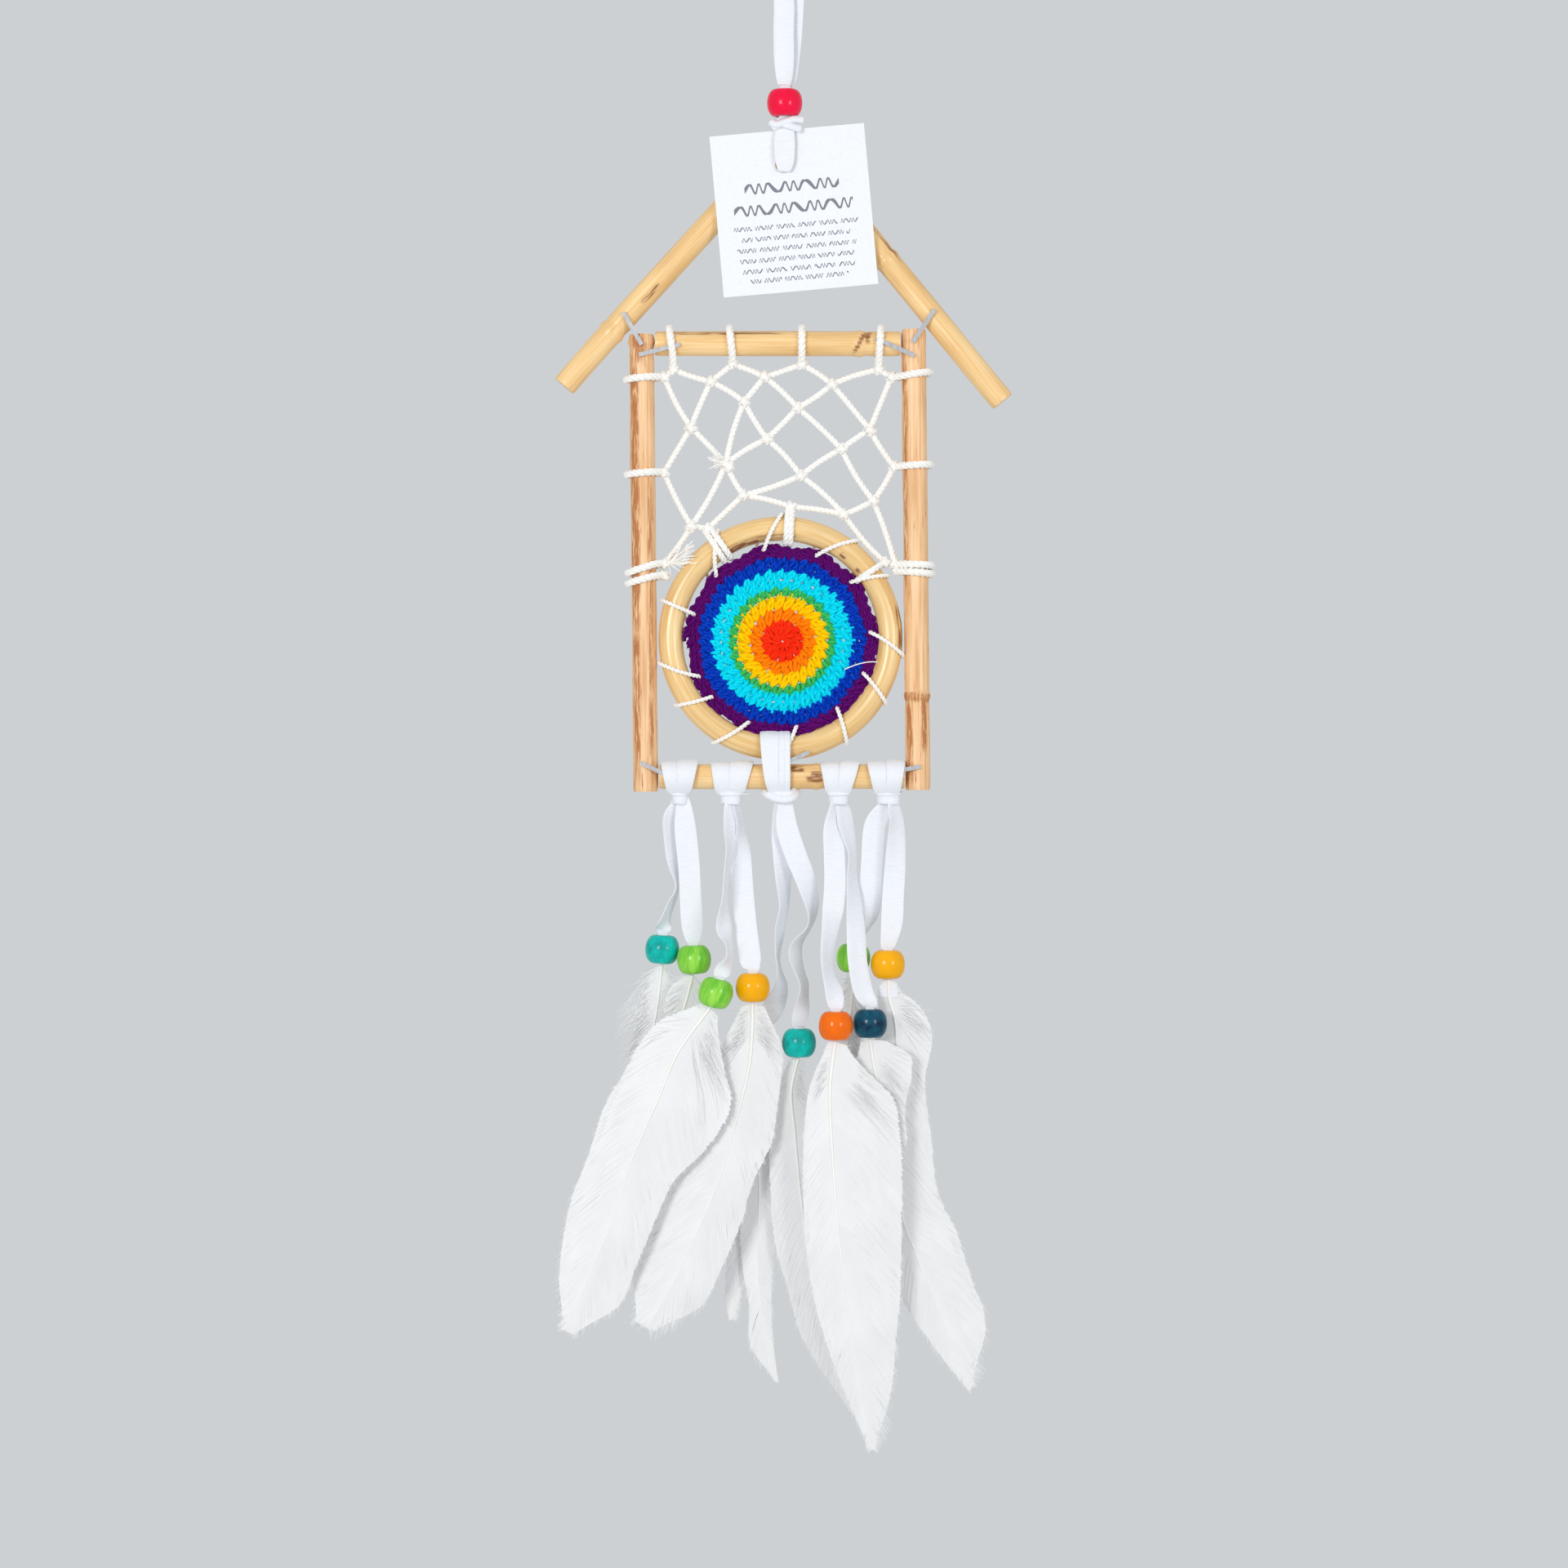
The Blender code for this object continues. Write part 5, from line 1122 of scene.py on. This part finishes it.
# ---------------------------------------------------------------- feathers
class Plume:
    """A feather's shaft, and places on the vane that it carries."""

    def __init__(self, depth, shaft, bead, tilt):
        start = bead - Vector((sin(tilt), 0.0, cos(tilt)))
        rows = [below_bar(*start)] + [below_bar(x, depth, z) for x, z in shaft]
        self.first = (rows[0] - rows[1]).length
        self.centres = spaced(smooth(rows, 8), 1.0)
        self.made = frames(self.centres, side=ACROSS)
        self.total = length_of(self.centres)

    def place(self, s, n, y):
        """A point s mm down the shaft, n mm to its right, y mm behind it."""
        last = len(self.centres) - 1.001
        i = min(max(s, 0.0), last)
        low = int(i)
        along, side, _ = self.made[low]
        side = side.lerp(self.made[low + 1][1], i - low)
        centre = self.centres[low].lerp(self.centres[low + 1], i - low) + along * max(0.0, s - last)
        return centre + side * n - FRONT * y

    def reach(self, s, widths, lean=0.0):
        """How far out and how far down the shaft a barb from here meets the vane's outline."""
        vane = self.total - self.first
        t = (s - self.first) / vane
        angle = radians(42 - 17 * t + 40 * math.exp(-max(t, 0.0) / 0.05)) + lean
        low, high = 0.2, 30.0
        for _ in range(18):
            width = (low + high) / 2
            at = t + width / math.tan(angle) / vane
            outline = between(widths, at) if at < 1 else 0.0
            low, high = (width, high) if width < outline else (low, width)
        return width, width / math.tan(angle)


def vane_depth(n, s, seed):
    """The vane's lengthwise arch, with slow waves in it."""
    wave = noise.noise(Vector((s * 0.045, n * 0.10, seed))) * min(1.0, abs(n) / 4)
    return min(0.10 * abs(n) + 0.003 * n * n, 2.0) + 0.75 * wave


def add_zipped_vane(shape, plume, hand, widths, seed, rng):
    """Barbs joined into one ridged skin, parted here and there, with loose ends along its edge."""

    def wander(share, place, side):
        return share * noise.noise(Vector((place, hand * side, seed)))

    s = VANE_START
    while s < plume.total - 1.2:
        late = s / plume.total > LATE_VANE
        end = min(s + (rng.uniform(3.5, 8.0) if late else rng.uniform(12.0, 40.0)), plume.total - 0.3)
        if plume.total - end < 3:
            end = plume.total - 0.3
        gap = rng.uniform(0.2, 0.6) if late else rng.choice((0.0, 0.1, 0.2, 0.35))
        twist = rng.uniform(-0.3, 0.3) if late else rng.uniform(-0.1, 0.1)
        count = max(3, round((end - s) / BARB_STEP))
        rings = []
        for i in range(count + 1):
            here = s + (end - s) * i / count
            width, down = plume.reach(here, widths)
            uneven = wander(0.02, here * 0.4, 1) + wander(0.02, here * 1.7, 1)
            width *= 1 + uneven * (2.5 if late else 1.2) + 0.012 * (-1) ** i
            groove = wander(0.11, here * 1.1, 5) + wander(0.05, here * 2.9, 5)
            pull = -gap * (2 * i / count - 1) ** 7
            top, bottom = [], []
            for q in VANE_STATIONS:
                parted = max(0.0, (q - 0.45) / 0.55) ** 2
                n = hand * width * q ** 0.9
                at = here + down * q ** 1.25 + pull * parted
                deep = vane_depth(n, at, seed) + groove * min(1.0, 2.5 * q) + twist * parted
                half = VANE_HALF * (1 - 0.6 * q)
                top.append(plume.place(at, n, deep - half))
                bottom.append(plume.place(at, n, deep + half))
            rings.append(top + bottom[::-1])
            if rng.random() < (0.7 if late else 0.3):
                extra = rng.uniform(0.3, 1.6 if late else 0.9)
                loose = []
                for q in (0.86, 0.94, 1.0, 1.0 + extra / max(width, 3.0)):
                    deep = vane_depth(hand * width * q, here + down, seed) + twist
                    loose.append(plume.place(here + down * q ** 1.25 + pull, hand * width * q ** 0.9, deep))
                shape.tube(loose, [0.10, 0.09, 0.07, 0.04], 4)
        shape.skin(rings)
        s = end


def add_down(shape, plume, hand, widths, end, rng):
    """Loose curling barbs, which don't hold together."""
    s = VANE_START
    while s < end:
        width, down = plume.reach(s, widths, rng.uniform(-0.25, 0.25))
        width *= rng.uniform(0.75, 1.15)
        curl, wave = rng.uniform(-1, 1) * 2.6, rng.uniform(0, 6)
        line, thick = [], []
        for q in DOWN_STATIONS:
            n = hand * width * q ** 0.9 + sin(wave + 5 * q) * 0.6 * q
            line.append(plume.place(s + down * q ** 1.2 + curl * q * q, n, 0.08 * abs(n) + 0.5 * curl * q * q))
            thick.append(DOWN_R * (1.15 - q))
        shape.tube(line, thick, 4)
        s += rng.uniform(0.15, 0.38)


def add_feather(quill, vane, feather, bead, tilt, seed):
    depth, shaft, left, right, down = feather
    plume = Plume(depth, shaft, bead, tilt)
    rng = random.Random(seed)
    count = len(plume.centres)
    sizes = [max(QUILL_TIP_R, QUILL_R * (1 - i / count)) for i in range(count)]
    quill.tube([centre + FRONT * 0.15 for centre in plume.centres], sizes)
    for hand, widths in ((-1, left), (1, right)):
        fluff = VANE_START + (plume.total - VANE_START) * max(FLUFF_REACH, down)
        add_down(vane, plume, hand, widths, fluff, rng)
        joined = [width * (1 - 0.45 * down) for width in widths]
        add_zipped_vane(vane, plume, hand, joined, seed * 7.3 + hand, rng)


def make_pendant(number):
    """A ribbon tail with its bead and feather."""
    _, body, paint, bead, tilt = BEADS[number]
    shape, quill, vane = Shape(), Shape(), Shape()
    line = ribbon_from(shape, tail_route(number), seed=float(number) * 3.7)
    tail = add_piece(f"tail_{number}", shape, (TAPE,), body, (f"ribbon_tail_{number}",))
    centre = (bead[0], bead[1], bead[2] + BOTTOM_BAR_Z)
    painted = make_bead(f"bead_{number}_painted", BEAD_SIZE, centre, tilt, paint, body, f"bead_{number}")
    add_feather(quill, vane, FEATHERS[number], Vector(bead), radians(tilt), int(number))
    if number == "05":
        add_feather(quill, vane, SECOND_FEATHER, Vector(bead), radians(tilt), 55)
    quill_piece = add_piece(f"quill_{number}", quill, (QUILL,), body, (f"feather_{number}",))
    vane_piece = add_piece(f"vane_{number}", vane, (VANE,), body, ())


# ---------------------------------------------------------------- card and staples
def make_card():
    """A thin card with a punched hole, bowed a little. Only its front face is printed."""
    tilt = Matrix.Rotation(-radians(CARD_TILT), 4, "Y")
    hole = tilt.inverted() @ (in_plane(CARD_HOLE) - in_plane(CARD_CENTRE))
    half_w, half_h = CARD_SIZE[0] / 2, CARD_SIZE[1] / 2
    sides = 96
    rings = []
    for share in (0.0, 0.04, 0.12, 0.3, 0.55, 0.8, 0.97, 1.0):
        ring = []
        for i in range(sides):
            turn = 2 * pi * (i + 0.5) / sides
            x, z = cos(turn), sin(turn)
            reach = min((math.copysign(half_w, x) - hole.x) / x, (math.copysign(half_h, z) - hole.z) / z)
            x0, z0 = hole.x + CARD_HOLE_R * x, hole.z + CARD_HOLE_R * z
            x1, z1 = hole.x + reach * x, hole.z + reach * z
            ring.append((x0 + (x1 - x0) * share, z0 + (z1 - z0) * share))
        rings.append(ring)
    for right, top in ((1, 1), (1, -1), (-1, 1), (-1, -1)):
        corner = (right * half_w, top * half_h)
        nearest = min(range(sides), key=lambda i: math.dist(rings[-1][i], corner))
        rings[-1][nearest] = corner
    shape = Shape()
    count = len(rings)
    for y in (-CARD_THICKNESS / 2, CARD_THICKNESS / 2):
        for x, z in (point for ring in rings for point in ring):
            bow = 0.5 * (x / half_w) ** 2 * (0.5 - z / half_h) * 0.6
            shape.points.append(tilt @ Vector((x, y - bow, z)) + in_plane(CARD_CENTRE, CARD_Y))
    for face in range(2):
        for i in range(count - 1):
            for j in range(sides):
                k = (j + 1) % sides
                corners = [(i, j), (i, k), (i + 1, k), (i + 1, j)]
                numbers = tuple((face * count + a) * sides + b for a, b in corners)
                shape.add(numbers, [UNPRINTED if face else rings[a][b] for a, b in corners])
    for i in (0, count - 1):
        for j in range(sides):
            front, back, k = i * sides, (count + i) * sides, (j + 1) % sides
            shape.add((front + j, front + k, back + k, back + j), [UNPRINTED] * 4)
    add_piece("card_printed", shape, (CARD,), "tag", ("tag_card",))


def finish_staples():
    for name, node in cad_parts.items():
        if name.startswith("staple"):
            node.data.materials.clear()
            node.data.materials.append(STEEL)
            bevel = node.modifiers.new("rounded_wire", "BEVEL")
            bevel.width = WIRE_ROUND
            bevel.segments = 3


make_camera()
make_studio()
make_hanging_ribbon()
for pendant in BEADS:
    make_pendant(pendant)
for stick, looks in STICKS.items():
    make_stick(stick, *looks)
make_hoop()
make_web()
make_lashing()
make_crochet()
for hitch_number, hitch in HITCHES.items():
    make_hitch(hitch_number, *hitch)
make_hoop_tie()
make_card()
finish_staples()

bpy.context.view_layer.update()
